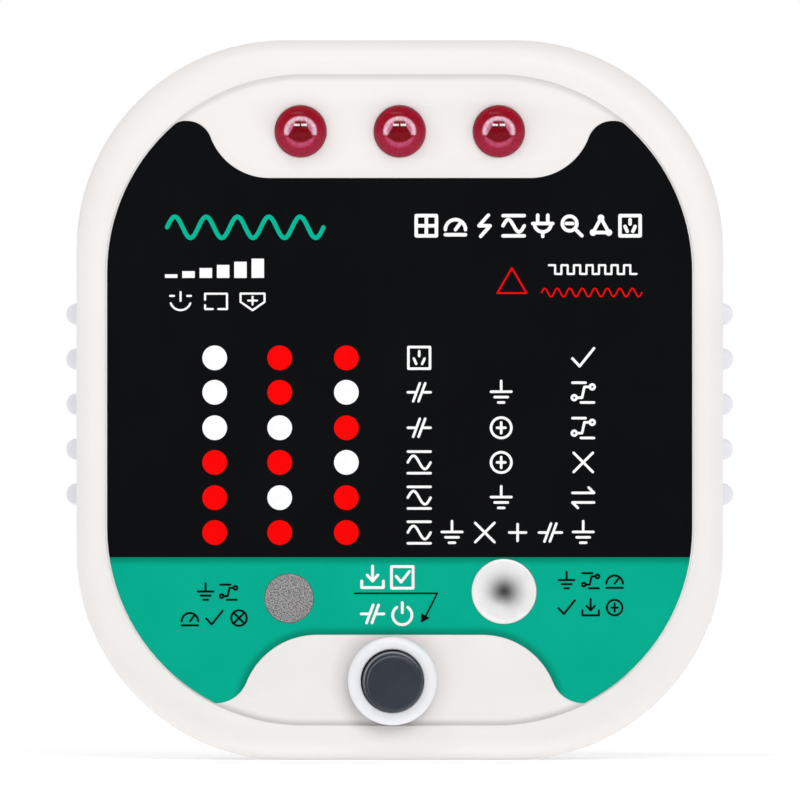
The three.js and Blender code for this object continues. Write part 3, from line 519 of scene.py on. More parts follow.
def region(faces, holes=()):
    """The union of flat outlines without the holes, as (points, triangles)."""
    coords, loops = [], []
    for loop in [*faces, *holes]:
        loops.append(list(range(len(coords), len(coords) + len(loop))))
        coords += [Vector(p) for p in loop]
    points, _, triangles, _, _, origin = delaunay_2d_cdt(coords, [], loops, 1, 1e-5, True)
    kept = [t for t, source in zip(triangles, origin) if source and all(i < len(faces) for i in source)]
    return points, kept


def slab(points, triangles, front, back):
    """A flat region given thickness along Y."""
    mesh = bmesh.new()
    used = sorted({i for t in triangles for i in t})
    fronts = {i: mesh.verts.new((points[i].x, front, points[i].y)) for i in used}
    backs = {i: mesh.verts.new((points[i].x, back, points[i].y)) for i in used}
    edges = {}
    for t in triangles:
        mesh.faces.new([fronts[i] for i in t])
        mesh.faces.new([backs[i] for i in reversed(t)])
        for a, b in zip(t, t[1:] + t[:1]):
            edges[(a, b)] = edges.get((a, b), 0) + 1
    for (a, b) in edges:
        if (b, a) not in edges:
            mesh.faces.new((fronts[b], fronts[a], backs[a], backs[b]))
    bmesh.ops.recalc_face_normals(mesh, faces=mesh.faces)
    return mesh


def four_corners(x, z):
    return [(-x, z), (x, z), (-x, -z), (x, -z)]


# ---- Case ----

def rim_size(fraction):
    return tuple(mix(a, b, fraction) for a, b in zip(BODY, PANEL))


def rim_rings():
    """The rim from the panel's step, over its crest, to the body's edge."""
    inner_steps, outer_steps, inner_end = 8, 14, 0.955
    rings = []
    for fraction, rise in ((1.0, 0), (0.992, 0.05), (0.985, 0.15), (0.975, 0.24)):
        rings.append((PANEL_Y - rise, outline_ring(rim_size(fraction))))
    for step in range(inner_steps, 0, -1):
        part = step / inner_steps
        fraction = mix(CREST, inner_end, part)
        rings.append((RIM_Y + INNER_DROP * part * part, outline_ring(rim_size(fraction))))
    return rings + [(RIM_Y + EDGE_DEPTH * (1 - c), outline_ring(rim_size(CREST * (1 - s))))
                    for c, s in quarter(outer_steps)]


def hole(radius, x, z, edge=0.0):
    """A cutter through the panel, with a rounded edge if it is given one."""
    front, back = RIM_Y - OPEN, PANEL_BACK_Y + OPEN
    profile = [(0, front), (radius + edge, front), (radius + edge, PANEL_Y)]
    if edge:
        profile += [(radius + edge * 0.3, PANEL_Y + edge * 0.3), (radius, PANEL_Y + edge)]
    return turned([*profile, (radius, back), (0, back)], 64, x, z)


def front_shell():
    tongue_y, side_y, chamfer = PARTING_Y + TONGUE, PARTING_Y - SEAM_EDGE, 0.09
    post_end, board_post_end, screw_hole, screw_hole_y, board_hole_y = -22.05, -21, 1.5, -26, -27.2
    skin = rim_rings()
    for y, inset in ((side_y, 0), (PARTING_Y - chamfer, chamfer), (PARTING_Y, SEAM_EDGE),
                     (PARTING_Y, LAP_INSET), (tongue_y, LAP_INSET), (tongue_y, WALL),
                     (PANEL_BACK_Y + INNER_FILLET, WALL), (PANEL_BACK_Y + 0.35, WALL + 0.35),
                     (PANEL_BACK_Y, WALL + INNER_FILLET)):
        skin.append((y, outline_ring(BODY, inset=inset)))
    inside = (RIM_Y + PANEL_BACK_Y) / 2
    board_posts = [(side * BOARD_POST_X, BOARD_POST_Z) for side in (-1, 1)]
    added = [rod(3.4, inside, side_y, x, z) for x, z in four_corners(SCREW_X, SCREW_Z)]
    added += [rod(2.5, inside, post_end, x, z) for x, z in board_posts]
    pocket = [(RIM_Y - OPEN, label_outline(-0.05)), (PANEL_Y, label_outline(-0.05)),
              (PANEL_Y + 0.02, label_outline(-0.02)), (PANEL_Y + 0.05, label_outline(0)),
              (POCKET_FLOOR_Y, label_outline(0))]
    cut = [lofted(pocket)]
    cut += [hole(LED_R + LENS_GAP, x, LED_Z, 0.02) for x in LED_X]
    cut += [hole(radius + 0.1, x, z) for x, z, radius in (WINDOW, CONTACT)]
    cut += [hole(COLLAR_HOLE, *BUTTON)]
    cut += [rod(screw_hole, screw_hole_y, PARTING_Y + OPEN, x, z, 32)
            for x, z in four_corners(SCREW_X, SCREW_Z)]
    cut += [rod(POST_HOLE, board_hole_y, board_post_end, x, z, 32) for x, z in board_posts]
    return carved(lofted(skin), added, cut)


def pin_places():
    """Each pin's name, x, z, turn about Y and length."""
    return [(name, orbit * math.cos(angle), orbit * math.sin(angle), angle + QUARTER, length)
            for name, (angle, orbit, length) in PINS.items()]


def rib(side, z):
    """One grip rib: a bar with a round back, wider at its foot and eased at both ends."""
    root, foot, height, steps, squareness = RIB["root"], RIB["foot"], RIB["height"], 16, 0.75
    section = [(root, -height), (foot, -height)]
    for step in range(1, steps):
        angle = mix(-QUARTER, QUARTER, step / steps)
        section.append((foot + RIB["crown"] * math.cos(angle) ** squareness, height * math.sin(angle)))
    section += [(foot, height), (root, height)]
    rings = []
    for y, scale in ((-15.2, 0.82), (-15.13, 0.92), (-14.95, 1), (-6.85, 1), (-6.67, 0.92), (-6.6, 0.82)):
        rings.append((y, [(side * mix(root, x, scale), z + dz * scale) for x, dz in section]))
    return lofted(rings)


def rear_shell():
    edge_y, rabbet_y, chamfer = PARTING_Y + CLEARANCE, PARTING_Y + RABBET, 0.09
    lap, side_inset, corner_inset, corner_y = 1.1, 0.4, 3.4, -6
    slot_half_x, slot_half_z = 3.4, 0.95
    well_y, well, well_edge, shank_hole, post, retainer_post = -11, 3.1, 3.35, 1.65, 4, 2.3
    rings = [(REAR_INSIDE_Y, 5.2), (-7.5, WALL + 0.4), (rabbet_y, WALL), (rabbet_y, lap), (edge_y, lap),
             (edge_y, SEAM_EDGE), (edge_y + chamfer, chamfer), (edge_y + SEAM_EDGE, 0)]
    rings += [(mix(corner_y, BACK_Y, s), side_inset + corner_inset * (1 - c)) for c, s in quarter(12)]
    skin = lofted([(y, outline_ring(BODY, inset=inset)) for y, inset in rings])
    boss_rings = [(REAR_INSIDE_Y + CLEARANCE, 0), (BACK_Y - 0.1, 0), (-0.45, 0), (-0.13, 0.13), (0, 0.45)]
    screws = four_corners(SCREW_X, SCREW_Z)
    retainer_posts = [(side * RETAINER_POST_X, RETAINER_POST_Z) for side in (-1, 1)]
    added = [lofted([(y, outline_ring(PLUG_BOSS, 16, inset)) for y, inset in boss_rings])]
    added += [rib(side, RIB["middle_z"] + RIB["pitch"] * step) for side in (-1, 1) for step in range(-2, 3)]
    added += [rod(post, PARTING_Y, BACK_Y - 1.1, x, z) for x, z in screws]
    added += [rod(retainer_post, -6.35, BACK_Y, x, z) for x, z in retainer_posts]
    cut = [block(slot_half_x, slot_half_z, REAR_INSIDE_Y - OPEN, OPEN, x, z, turn)
           for _, x, z, turn, _ in pin_places()]
    for x, z in screws:
        cut.append(turned([(0, well_y), (well, well_y), (well, BACK_Y - 0.25), (well_edge, BACK_Y),
                           (well_edge, OPEN), (0, OPEN)], 64, x, z))
        cut.append(rod(shank_hole, PARTING_Y - OPEN, -10, x, z, 32))
    cut += [rod(POST_HOLE, -7.35, -2.4, x, z, 32) for x, z in retainer_posts]
    return carved(skin, added, cut)


def painted_shade(shader, base):
    """The shell's colour with painted shade: a soft grey at the foot of the rim beside the pads, and a
    painted shadow round the collar, heavier to its left.
    """
    foot_start, foot_full, pads_z = -0.7, -0.05, (25.5, 27)
    foot_bottom, foot_top = 0.29, 0.18
    collar_start, collar_end, collar_left, collar_right = 4.2, 6.3, 0.3, 0.15
    x, _, z = shader.split()
    half_w, half_h, radius = PANEL
    away_z = shader.math("ABSOLUTE", z)
    over_x = shader.math("SUBTRACT", shader.math("ABSOLUTE", x), (half_w - radius) * MM)
    over_z = shader.math("SUBTRACT", away_z, (half_h - radius) * MM)
    corner = shader.length(shader.math("MAXIMUM", over_x, 0.0), shader.math("MAXIMUM", over_z, 0.0))
    straight = shader.math("MINIMUM", shader.math("MAXIMUM", over_x, over_z), 0.0)
    beyond = shader.math("SUBTRACT", shader.math("ADD", corner, straight), radius * MM)
    # Painted shade at the foot of the rim's step, fading inwards over the pads, deeper at the bottom.
    foot = shader.remap(beyond, foot_start * MM, foot_full * MM, 0, 1, smooth=True)
    for share in (shader.remap(beyond, 0.0, 0.04 * MM, 1, 0),
                  shader.remap(z, -half_h * MM, half_h * MM, foot_bottom, foot_top),
                  shader.remap(away_z, pads_z[0] * MM, pads_z[1] * MM, 0, 1, smooth=True)):
        foot = shader.math("MULTIPLY", foot, share)
    # Painted shadow round the collar's foot, heavier on its left than on its right.
    off_x = shader.math("SUBTRACT", x, BUTTON[0] * MM)
    off_z = shader.math("SUBTRACT", z, BUTTON[1] * MM)
    reach = shader.length(off_x, off_z)
    near = shader.math("POWER", shader.remap(reach, collar_start * MM, collar_end * MM, 1, 0), 1.5)
    across = shader.math("DIVIDE", off_x, reach)
    collar_shadow = shader.math("MULTIPLY", near, shader.remap(across, -1, 1, collar_left, collar_right))
    return shader.scaled(base, shader.math("SUBTRACT", 1.0, shader.math("ADD", foot, collar_shadow)))


# The front shell's white, with painted shade at the rim's foot and a painted shadow round the collar.
WARM = moulded("warm_white_shell", srgb(244, 241, 239), srgb(241, 237, 235), 0.42, light_paint=painted_shade)
COOL = moulded("cool_white_shell", srgb(241, 241, 246), srgb(237, 237, 243), 0.46)
piece("case_front", front_shell(), [WARM], "case", ["front_shell"])
piece("case_rear", rear_shell(), [COOL], "case", ["rear_shell"])


# ---- Face label and its printing ----

def label_material():
    """Black above and green below, with a painted shadow on the green along the colour change and along the
    lower notch.
    """
    edge, split_shadow_high, notch_shadow_wide = 0.02, 0.9, 1.0
    shader = Shader("label_overlay", Specular_IOR_Level=0.04)
    x, _, z = shader.split()
    below = shader.remap(z, (SPLIT_Z + edge) * MM, (SPLIT_Z - edge) * MM, 0, 1)
    split_shadow = shader.remap(z, (SPLIT_Z - split_shadow_high) * MM, SPLIT_Z * MM, 0, 1, smooth=True)
    flat, corner = BOTTOM_NOTCH["flat_half"] * MM, BOTTOM_NOTCH["round"] * MM
    centre_z = -(BOTTOM_NOTCH["flat_z"] * MM + corner)
    over_x = shader.math("MAXIMUM", shader.math("SUBTRACT", shader.math("ABSOLUTE", x), flat), 0.0)
    over_z = shader.math("MAXIMUM", shader.math("SUBTRACT", z, centre_z), 0.0)
    notch_shadow = shader.remap(shader.length(over_x, over_z), corner, corner + notch_shadow_wide * MM, 1, 0,
                              smooth=True)
    # Painted shadow on the green: below the black part and along the lower notch.
    shade = shader.math("MAXIMUM", shader.math("MULTIPLY", split_shadow, 0.9),
                        shader.math("MULTIPLY", notch_shadow, 0.85))
    tone = shader.spread(shader.noise(9, 3), 0, 1)
    green = shader.blend(tone, srgb(0, 171, 142), srgb(2, 176, 147))
    green = shader.blend(shader.math("MULTIPLY", shade, 0.62), green, srgb(0, 84, 66))
    black = shader.blend(tone, srgb(8, 9, 12), srgb(11, 12, 15))
    shader.feed("Base Color", shader.blend(below, black, green))
    rubbed = shader.noise(1.5, 5, 0.7, shader.place((1, 1, 0.15), (0, 0.5, 0)))
    shader.feed("Roughness", shader.remap(rubbed, 0.3, 0.75, 0.3, 0.42))
    shader.bump(shader.noise(0.14), 0.4, 0.002)
    return shader.material


def face_label():
    outline = label_outline(0.02)
    holes = [circle(x, z, radius + DISC_GAP, 96) for x, z, radius in (WINDOW, CONTACT)]
    return slab(*region([outline], holes), LABEL_FRONT_Y, POCKET_FLOOR_Y - CLEARANCE)


def arc(x, z, radius, start, end, steps=14):
    """Points on an arc, with its angles in degrees from +X towards +Z."""
    return [(x + radius * math.cos(math.radians(mix(start, end, i / steps))),
             z + radius * math.sin(math.radians(mix(start, end, i / steps)))) for i in range(steps + 1)]


def wave(x0, x1, high, turns, steps=40):
    return [(mix(x0, x1, i / steps), high * math.sin(TURN * turns * i / steps)) for i in range(steps + 1)]


def square_wave(x0, x1, high, turns):
    points, step = [], (x1 - x0) / (2 * turns)
    for i in range(2 * turns):
        level = high if i % 2 == 0 else -high
        points += [(x0 + step * i, level), (x0 + step * (i + 1), level)]
    return points


SQUARE = [(-0.9, -0.9), (0.9, -0.9), (0.9, 0.9), (-0.9, 0.9), (-0.9, -0.9)]
# Language-free signs in a square from -1 to 1: each stroke is a list of points.
SIGNS = {
    "tick": [[(-0.9, -0.05), (-0.3, -0.7), (0.9, 0.8)]],
    "boxed_tick": [[(-0.5, 0.1), (-0.1, -0.4), (0.6, 0.5)], SQUARE],
    "socket": [SQUARE, [(0, 0.55), (0, 0.15)], [(-0.45, -0.05), (-0.25, -0.5)],
               [(0.45, -0.05), (0.25, -0.5)]],
    "earth": [[(0, 0.95), (0, 0.05)], [(-0.85, 0.05), (0.85, 0.05)], [(-0.55, -0.4), (0.55, -0.4)],
              [(-0.25, -0.85), (0.25, -0.85)]],
    "broken": [[(-0.95, 0), (-0.35, 0)], [(0.35, 0), (0.95, 0)], [(-0.5, -0.75), (0.05, 0.75)],
               [(-0.05, -0.75), (0.5, 0.75)]],
    "wire": [[(-0.55, -0.45), (-0.1, -0.45), (0.1, 0.45), (0.55, 0.45)], arc(-0.75, -0.45, 0.2, 0, 360),
             arc(0.75, 0.45, 0.2, 0, 360), [(-0.9, 0.8), (0.2, 0.8)], [(-0.2, -0.85), (0.9, -0.85)]],
    "ring": [arc(0, 0, 0.85, 0, 360, 24), [(0, 0.45), (0, -0.45)], [(-0.35, 0), (0.35, 0)]],
    "phase": [wave(-0.95, 0.95, 0.55, 1), [(-0.95, -0.9), (0.95, -0.9)], [(-0.95, 0.9), (0.95, 0.9)]],
    "cross": [[(-0.8, -0.8), (0.8, 0.8)], [(-0.8, 0.8), (0.8, -0.8)]],
    "swap": [[(-0.9, 0.4), (0.9, 0.4), (0.45, 0.85)], [(0.9, -0.4), (-0.9, -0.4), (-0.45, -0.85)]],
    "plus": [[(-0.7, 0), (0.7, 0)], [(0, -0.7), (0, 0.7)]],
    "grid": [SQUARE, [(0, -0.9), (0, 0.9)], [(-0.9, 0), (0.9, 0)]],
    "bolt": [[(0.35, 0.95), (-0.5, 0), (0.5, 0), (-0.35, -0.95)]],
    "gauge": [arc(0, -0.35, 0.9, 0, 180, 18), [(0, -0.35), (0.45, 0.25)], [(-0.9, -0.8), (0.9, -0.8)]],
    "pin": [[(-0.45, 0.95), (-0.45, 0.2)], [(0.45, 0.95), (0.45, 0.2)], [(-0.9, 0.2), (0.9, 0.2)],
            arc(0, 0.2, 0.75, 180, 360), [(0, -0.55), (0, -0.95)]],
    "lens": [arc(-0.2, 0.2, 0.65, 0, 360, 20), [(0.3, -0.3), (0.9, -0.9)], [(-0.5, 0.2), (0.1, 0.2)]],
    "nodes": [[(-0.7, -0.6), (0, 0.7), (0.7, -0.6), (-0.7, -0.6)], arc(0, 0.7, 0.15, 0, 360, 8),
              arc(-0.7, -0.6, 0.15, 0, 360, 8), arc(0.7, -0.6, 0.15, 0, 360, 8)],
    "lamp": [arc(0, 0, 0.85, 0, 360, 24), [(-0.6, -0.6), (0.6, 0.6)], [(-0.6, 0.6), (0.6, -0.6)]],
    "press": [[(0, 0.95), (0, -0.3)], [(-0.45, 0.2), (0, -0.3), (0.45, 0.2)],
              [(-0.9, -0.3), (-0.9, -0.85), (0.9, -0.85), (0.9, -0.3)]],
    "off": [arc(0, -0.1, 0.8, 125, 415, 20), [(0, 0.95), (0, 0.1)]],
    "half_ring": [arc(0, 0.2, 0.95, 200, 340, 14), [(0, 0.9), (0, 0.1)], [(-0.95, 0.55), (-0.6, 0.55)],
                  [(0.6, 0.55), (0.95, 0.55)]],
    "open_box": [[(-1, 0.2), (-1, 0.75), (1, 0.75), (1, -0.65), (0.2, -0.65)], [(-0.3, -0.65), (-1, -0.65),
                                                                               (-1, -0.3)]],
    "shield": [[(-1.15, 0.8), (1.15, 0.8), (1.15, 0), (0, -0.8), (-1.15, 0), (-1.15, 0.8)],
               [(0, 0.5), (0, -0.25)], [(-0.42, 0.13), (0.42, 0.13)]],
}


def stroke(points, width):
    """Flat outlines that cover a stroke with round ends and joints."""
    half, outlines = width / 2, [circle(x, z, width / 2, 8) for x, z in points]
    for (ax, az), (bx, bz) in zip(points, points[1:]):
        length = math.hypot(bx - ax, bz - az)
        if length > 1e-6:
            nx, nz = -(bz - az) / length * half, (bx - ax) / length * half
            outlines.append([(ax - nx, az - nz), (bx - nx, bz - nz), (bx + nx, bz + nz), (ax + nx, az + nz)])
    return outlines


def sign(name, x, z, size, width):
    """A sign of the given size round (x, z), drawn with strokes of the given width."""
    return [o for points in SIGNS[name]
            for o in stroke([(x + dx * size / 2, z + dz * size / 2) for dx, dz in points], width)]


def moved(points, z):
    return [(x, z + dz) for x, dz in points]


# Which lamps are lit in each row of the lookup table, and what it means.
LAMP_X, LAMP_R = (-17.73, -11.5, -5.11), 1.185
MEANING_X, LAST_ROW_PITCH = (1.87, 9.73, 17.59), 3.144
TABLE = ((4.04, "wrr", ("socket", None, "tick")), (0.74, "wrw", ("broken", "earth", "wire")),
         (-2.66, "wwr", ("broken", "ring", "wire")), (-5.98, "rrw", ("phase", "ring", "cross")),
         (-9.36, "rwr", ("phase", "earth", "swap")), (-12.7, "rrr", ()))
LAST_ROW = ("phase", "earth", "cross", "plus", "broken", "earth")
TITLE = ("grid", "gauge", "bolt", "phase", "pin", "lens", "nodes", "socket")
CAPTIONS = ((-18.4, (("earth", -18.6), ("wire", -16.4))),
            (-20.9, (("gauge", -20.1), ("tick", -17.75), ("lamp", -15.4))),
            (-17.3, (("earth", 16.0), ("wire", 18.3), ("gauge", 20.6))),
            (-19.9, (("tick", 16.0), ("press", 18.3), ("ring", 20.6))))
BUTTON_SIGNS = ((-2.6, -17, "press"), (0.25, -17, "boxed_tick"), (-2.6, -20.5, "broken"),
                (0.25, -20.5, "off"))


def printing():
    """The label's print as outlines for each ink."""
    inks = {"white": [], "red": [], "green": [], "black": []}
    for z, lit, names in TABLE:
        for x, lamp in zip(LAMP_X, lit):
            inks["red" if lamp == "r" else "white"].append(circle(x, z, LAMP_R, 40))
        for x, name in zip(MEANING_X, names):
            if name:
                inks["white"] += sign(name, x, z, 2.3, 0.25)
    for step, name in enumerate(LAST_ROW):
        inks["white"] += sign(name, MEANING_X[0] + LAST_ROW_PITCH * step, TABLE[-1][0], 2.3, 0.25)
    for step, name in enumerate(TITLE):
        inks["white"] += sign(name, 2.55 + 2.79 * step, 16.7, 2.15, 0.34)
    inks["white"] += stroke(moved(square_wave(14.3, 22.7, 0.42, 7), 12.5), 0.2)
    inks["red"] += stroke(moved(wave(13.6, 23.2, 0.4, 8, 128), 10.3), 0.13)
    inks["red"] += stroke([(9.35, 10.25), (12.15, 10.25), (10.75, 12.65), (9.35, 10.25)], 0.16)
    inks["green"] += stroke(moved(wave(-22.3, -7.3, 1.02, 5, 120), 16.55), 0.42)
    for step in range(6):
        x, low, high, wide = -22.5 + 1.66 * step, 11.7, 0.35 + 0.3 * step, 1.2
        inks["white"].append([(x, low), (x + wide, low), (x + wide, low + high), (x, low + high)])
    for x, name, size in ((-21, "half_ring", 2.1), (-17.6, "open_box", 2.1), (-14.1, "shield", 2.0)):
        inks["white"] += sign(name, x, 9.4, size, 0.2)
    for z, signs in CAPTIONS:
        for name, x in signs:
            inks["black"] += sign(name, x, z, 1.75, 0.2)
    for x, z, name in BUTTON_SIGNS:
        inks["white"] += sign(name, x, z, 2.3, 0.27)
    inks["black"] += stroke([(-4.35, -18.53), (3.6, -18.53), (2.46, -20.78)], 0.16)
    inks["black"].append([(2.04, -21.34), (2.88, -20.9), (2.08, -20.44)])
    return inks


def ink(name, colour):
    """Screen-printed ink: even colour with a fine dusty mottle."""
    shader = Shader(name, Specular_IOR_Level=0.04)
    tone = shader.cloudy(0.6, tuple(c * 0.97 for c in colour), colour)
    return shader.surface(tone, shader.noise(0.4), (0.39, 0.51), shader.noise(0.1), 0.5, 0.0015)


INKS = {"white": srgb(255, 255, 255), "red": srgb(253, 0, 0), "green": srgb(0, 183, 150),
        "black": srgb(8, 8, 10)}
PRINT_FRONT_Y, PRINT_BACK_Y = LABEL_FRONT_Y - 0.02, LABEL_FRONT_Y + 0.01
piece("label_overlay", face_label(), [label_material()], "case", ["face_label"])
for ink_name, outlines in printing().items():
    piece("label_print_" + ink_name, slab(*region(outlines), PRINT_FRONT_Y, PRINT_BACK_Y),
          [ink("ink_" + ink_name, INKS[ink_name])], "case")


# ---- Lamps ----

def smooth(low, high, value):
    part = min(max((value - low) / (high - low), 0), 1)
    return part * part * (3 - 2 * part)


def lens_tone_and_glints(across, up):
    """The lens colour at a place on its dome, both from -1 to 1: darker above and lighter below, a painted
    bright arc of highlight above, a soft painted reflection below, the dark lead frame with two painted
    glints, and a dark edge."""
    reach, side = math.hypot(across, up), abs(across)
    # Darker at the top of the dome, lighter towards the bottom.
    colour = [mix(a, b, smooth(-0.7, 0.7, -up)) for a, b in zip(srgb(152, 6, 32), srgb(168, 38, 64))]

    def over(paint, amount):
        for i in range(3):
            colour[i] = mix(colour[i], paint[i], amount)

    # Painted reflection: a soft pink crescent in the lower half.
    crescent = smooth(0.4, 0.5, reach) * smooth(0.66, 0.57, reach) * smooth(-0.12, -0.35, up)
    over(srgb(206, 88, 124), 0.68 * crescent)
    lead_half = mix(0.47, 0.2, smooth(-0.25, 0.38, up))
    lead = smooth(lead_half + 0.04, lead_half - 0.03, side) * smooth(0.42, 0.36, up)
    lead *= smooth(-0.45, -0.38, up - 0.84 * across * across)
    # Painted highlight: a bright arc over the upper half, whitest along its middle.
    arc_reach = math.hypot(across / 0.64, up / 0.58)
    arc_light = smooth(1.03, 0.95, arc_reach) * smooth(-0.17, -0.11, up)
    over(srgb(206, 116, 146), arc_light)
    over(srgb(232, 190, 204), arc_light * smooth(0.64, 0.84, arc_reach) * smooth(1.03, 0.9, arc_reach))
    over(srgb(124, 8, 22), lead * smooth(0.66, 0.58, reach))
    over(srgb(60, 0, 12), lead * smooth(0.13, 0.16, up) * smooth(0.2, 0.17, up))
    # Painted glints: two small bright patches on the lead frame.
    twin_glints = smooth(0.195, 0.215, up) * smooth(0.29, 0.265, up)
    twin_glints *= smooth(0.025, 0.045, side) * smooth(0.25, 0.23, side)
    over(srgb(255, 246, 244), twin_glints)
    over(srgb(128, 4, 34), 0.7 * smooth(0.92, 0.985, reach))
    return colour


def led_lens():
    """A 5 mm lens with its flange and two legs; the legs take the second material."""
    flange_front, flange_back, flange_r, ease = -25.5, -24.4, 2.9, 0.1
    leg_half, leg_front, leg_back, leg_x = 0.25, -24.6, -19.6, 1.27
    profile = [(LED_R * s, LED_TIP_Y + LENS_RISE * (1 - c)) for c, s in quarter(40)]
    profile += [(LED_R, flange_front), (flange_r, flange_front), (flange_r, flange_front + ease),
                (flange_r, flange_back - ease), (flange_r - ease, flange_back), (0, flange_back)]
    legs = [bevelled(block(leg_half, leg_half, leg_front, leg_back, x), 0.04, 2) for x in (-leg_x, leg_x)]
    for leg in legs:
        for face in leg.faces:
            face.material_index = 1
    return joined([turned(profile, 120), *legs])


def lens_material():
    shader = Shader("red_lens", Coat_Weight=0.05, Coat_Roughness=0.05, Specular_IOR_Level=0.06)
    tone = shader.add("Attribute", attribute_name="lens_tone_and_glints").outputs["Color"]
    cloud = shader.spread(shader.noise(0.24, 4, 0.65), 0.66, 1.22)
    return shader.surface(shader.scaled(tone, cloud), shader.noise(0.8, 3), (0.14, 0.26),
                          shader.noise(0.3, 3), 0.35, 0.004)


def paint_lens(thing):
    """Stores the lens colour, with its painted highlight, reflection and glints, at every vertex for the
    lens material.
    """
    tones = thing.data.color_attributes.new("lens_tone_and_glints", "FLOAT_COLOR", "POINT")
    for vertex, tone in zip(thing.data.vertices, tones.data):
        across, up = vertex.co.x / (LED_R * MM), vertex.co.z / (LED_R * MM)
        tone.color = (*lens_tone_and_glints(across, up), 1)


LENS = lens_material()
TIN = metal("tinned_leg", srgb(200, 202, 204), srgb(180, 182, 186), 0.3)
for side, x in zip(("left", "middle", "right"), LED_X):
    lens = piece("led_lens_" + side, led_lens(), [LENS, TIN], "case", ["led_" + side],
                 at=(x, 0, LED_Z))
    paint_lens(lens)


# ---- Earth-lamp window and touch contact ----

def window_material():
    """Frosted grey diffuser with a salt-and-pepper stipple."""
    shader = Shader("frosted_window", Specular_IOR_Level=0.3)
    fine = shader.noise(0.13, 2, 0.8)
    speck = shader.blend(shader.remap(fine, 0.4, 0.6, 0, 1), srgb(78, 76, 77), srgb(180, 178, 179))
    x, _, z = shader.split()
    rim = shader.remap(shader.length(x, z), 2.2 * MM, WINDOW[2] * MM, 0, 0.4)
    colour = shader.blend(rim, speck, srgb(196, 160, 166))
    return shader.surface(colour, fine, (0.6, 0.85), fine, 0.6, 0.02)


def window():
    """The window's disc with its eased front edge, and its flange behind the panel."""
    radius, flange_r = WINDOW[2], 3.4
    flange_y, flange_back = PANEL_BACK_Y + CLEARANCE, PANEL_BACK_Y + CLEARANCE + 0.7
    return turned([(0, LABEL_FRONT_Y), (2.22, LABEL_FRONT_Y), (2.31, -31.43), (radius, -31.36),
                   (radius, flange_y), (flange_r, flange_y), (flange_r, flange_back), (0, flange_back)], 96)


def contact_material():
    """Satin nickel, pale at its rim, with a painted reflection that darkens it to near black in the middle
    of its dish.
    """
    shader = Shader("touch_plate", Metallic=0.55, Specular_IOR_Level=0.5)
    x, _, z = shader.split()
    share = shader.math("DIVIDE", shader.length(x, z), CONTACT[2] * MM)
    # Painted reflection: near black in the middle of the dish, fading out towards the rim.
    dark = shader.math("EXPONENT", shader.math("MULTIPLY", shader.math("MULTIPLY", share, share), -4.4))
    pale = shader.cloudy(1.2, srgb(244, 243, 243), srgb(251, 250, 250), 4)
    swirl = shader.noise(0.22, 3, 0.6)
    colour = shader.blend(dark, pale, srgb(66, 66, 66))
    return shader.surface(colour, swirl, (0.42, 0.55), swirl, 0.5, 0.002)


def contact():
    """The contact's dished face with its round edge, its flange and the stud that meets the spring."""
    dish_r, dish_depth, steps = 2.8, 0.5, 20
    radius, flange_r, stud_r, stud_y = CONTACT[2], 4.3, 1.1, -27.4
    flange_y, flange_back = PANEL_BACK_Y + CLEARANCE, PANEL_BACK_Y + CLEARANCE + 0.8
    dish = [(dish_r * i / steps, PANEL_Y + dish_depth * math.exp(-4.5 * (i / steps) ** 2))
            for i in range(steps + 1)]
    return turned([*dish, (2.9, -31.52), (3.05, -31.49), (3.12, -31.42), (radius, -31.3), (radius, flange_y),
                   (flange_r, flange_y), (flange_r, flange_back), (stud_r, flange_back), (stud_r, stud_y),
                   (0, stud_y)], 96)


piece("lamp_window_disc", window(), [window_material()], "case", ["earth_lamp_window"],
      at=(WINDOW[0], 0, WINDOW[1]))
piece("touch_plate", contact(), [contact_material()], "case", ["earth_touch_contact"],
      at=(CONTACT[0], 0, CONTACT[1]))


# ---- RCD test button ----

def collar():
    """The collar's ring, closed on itself: a broad rounded outer edge and a small inner one."""
    inner_round, outer_round = 0.18, 0.55
    shoulder_y, groove_r, lip_r, lip_y, back = -31.55, 3.65, 4.0, -29.35, -28.9
    profile = [(COLLAR_BORE, back), (COLLAR_BORE, COLLAR_Y + 0.22)]
    profile += [(COLLAR_BORE + inner_round * (1 - c), COLLAR_Y + inner_round * (1 - s))
                for c, s in quarter(6)[1:]]
    profile += [(COLLAR_BORE + 0.5, COLLAR_Y - 0.02), (COLLAR_R - 0.62, COLLAR_Y - 0.02)]
    profile += [(COLLAR_R - outer_round * (1 - s), COLLAR_Y + outer_round * (1 - c)) for c, s in quarter(10)]
    profile += [(COLLAR_R + 0.03, -31.9), (COLLAR_R + 0.02, -31.6), (COLLAR_R - 0.02, shoulder_y),
                (groove_r, shoulder_y), (groove_r, lip_y), (lip_r, lip_y), (lip_r - 0.05, -29.2),
                (groove_r, back)]
    return turned(profile, 128, closed=True)


def cap():
    """The cap: a flat face, a ledge that is widest at the upper left, an outer round edge and its flange.
    The third value of each ring is its share of the face's shift."""
    profile = [(2.3, -35.0, 1), (2.42, -34.985, 1), (2.52, -34.94, 1), (2.58, -34.87, 1), (2.6, -34.8, 1),
               (2.64, -34.78, 0.85), (2.74, -34.77, 0.4), (2.8, -34.74, 0.2), (2.86, -34.66, 0.05),
               (2.9, -34.55, 0), (2.92, -34.4, 0), (2.93, -34.2, 0), (2.93, -28.8, 0), (3.45, -28.8, 0),
               (3.45, -28.1, 0), (3.35, -28.0, 0), (1.35, -28.0, 0), (1.35, -31.0, 0)]
    return lofted([(y, circle(CAP_SHIFT[0] * share, CAP_SHIFT[1] * share, radius, 128))
                   for radius, y, share in profile])


def return_spring():
    """A coil of round wire, cut square at both ends."""
    steps, sides = 144, 12
    loops = []
    for step in range(steps + 1):
        angle, y = TURN * SPRING_TURNS * step / steps, mix(SPRING_FRONT_Y, SPRING_BACK_Y, step / steps)
        loops.append([((SPRING_R + out) * math.cos(angle), y + along, (SPRING_R + out) * math.sin(angle))
                      for out, along in circle(0, 0, SPRING_WIRE, sides)])
    return tube(loops)


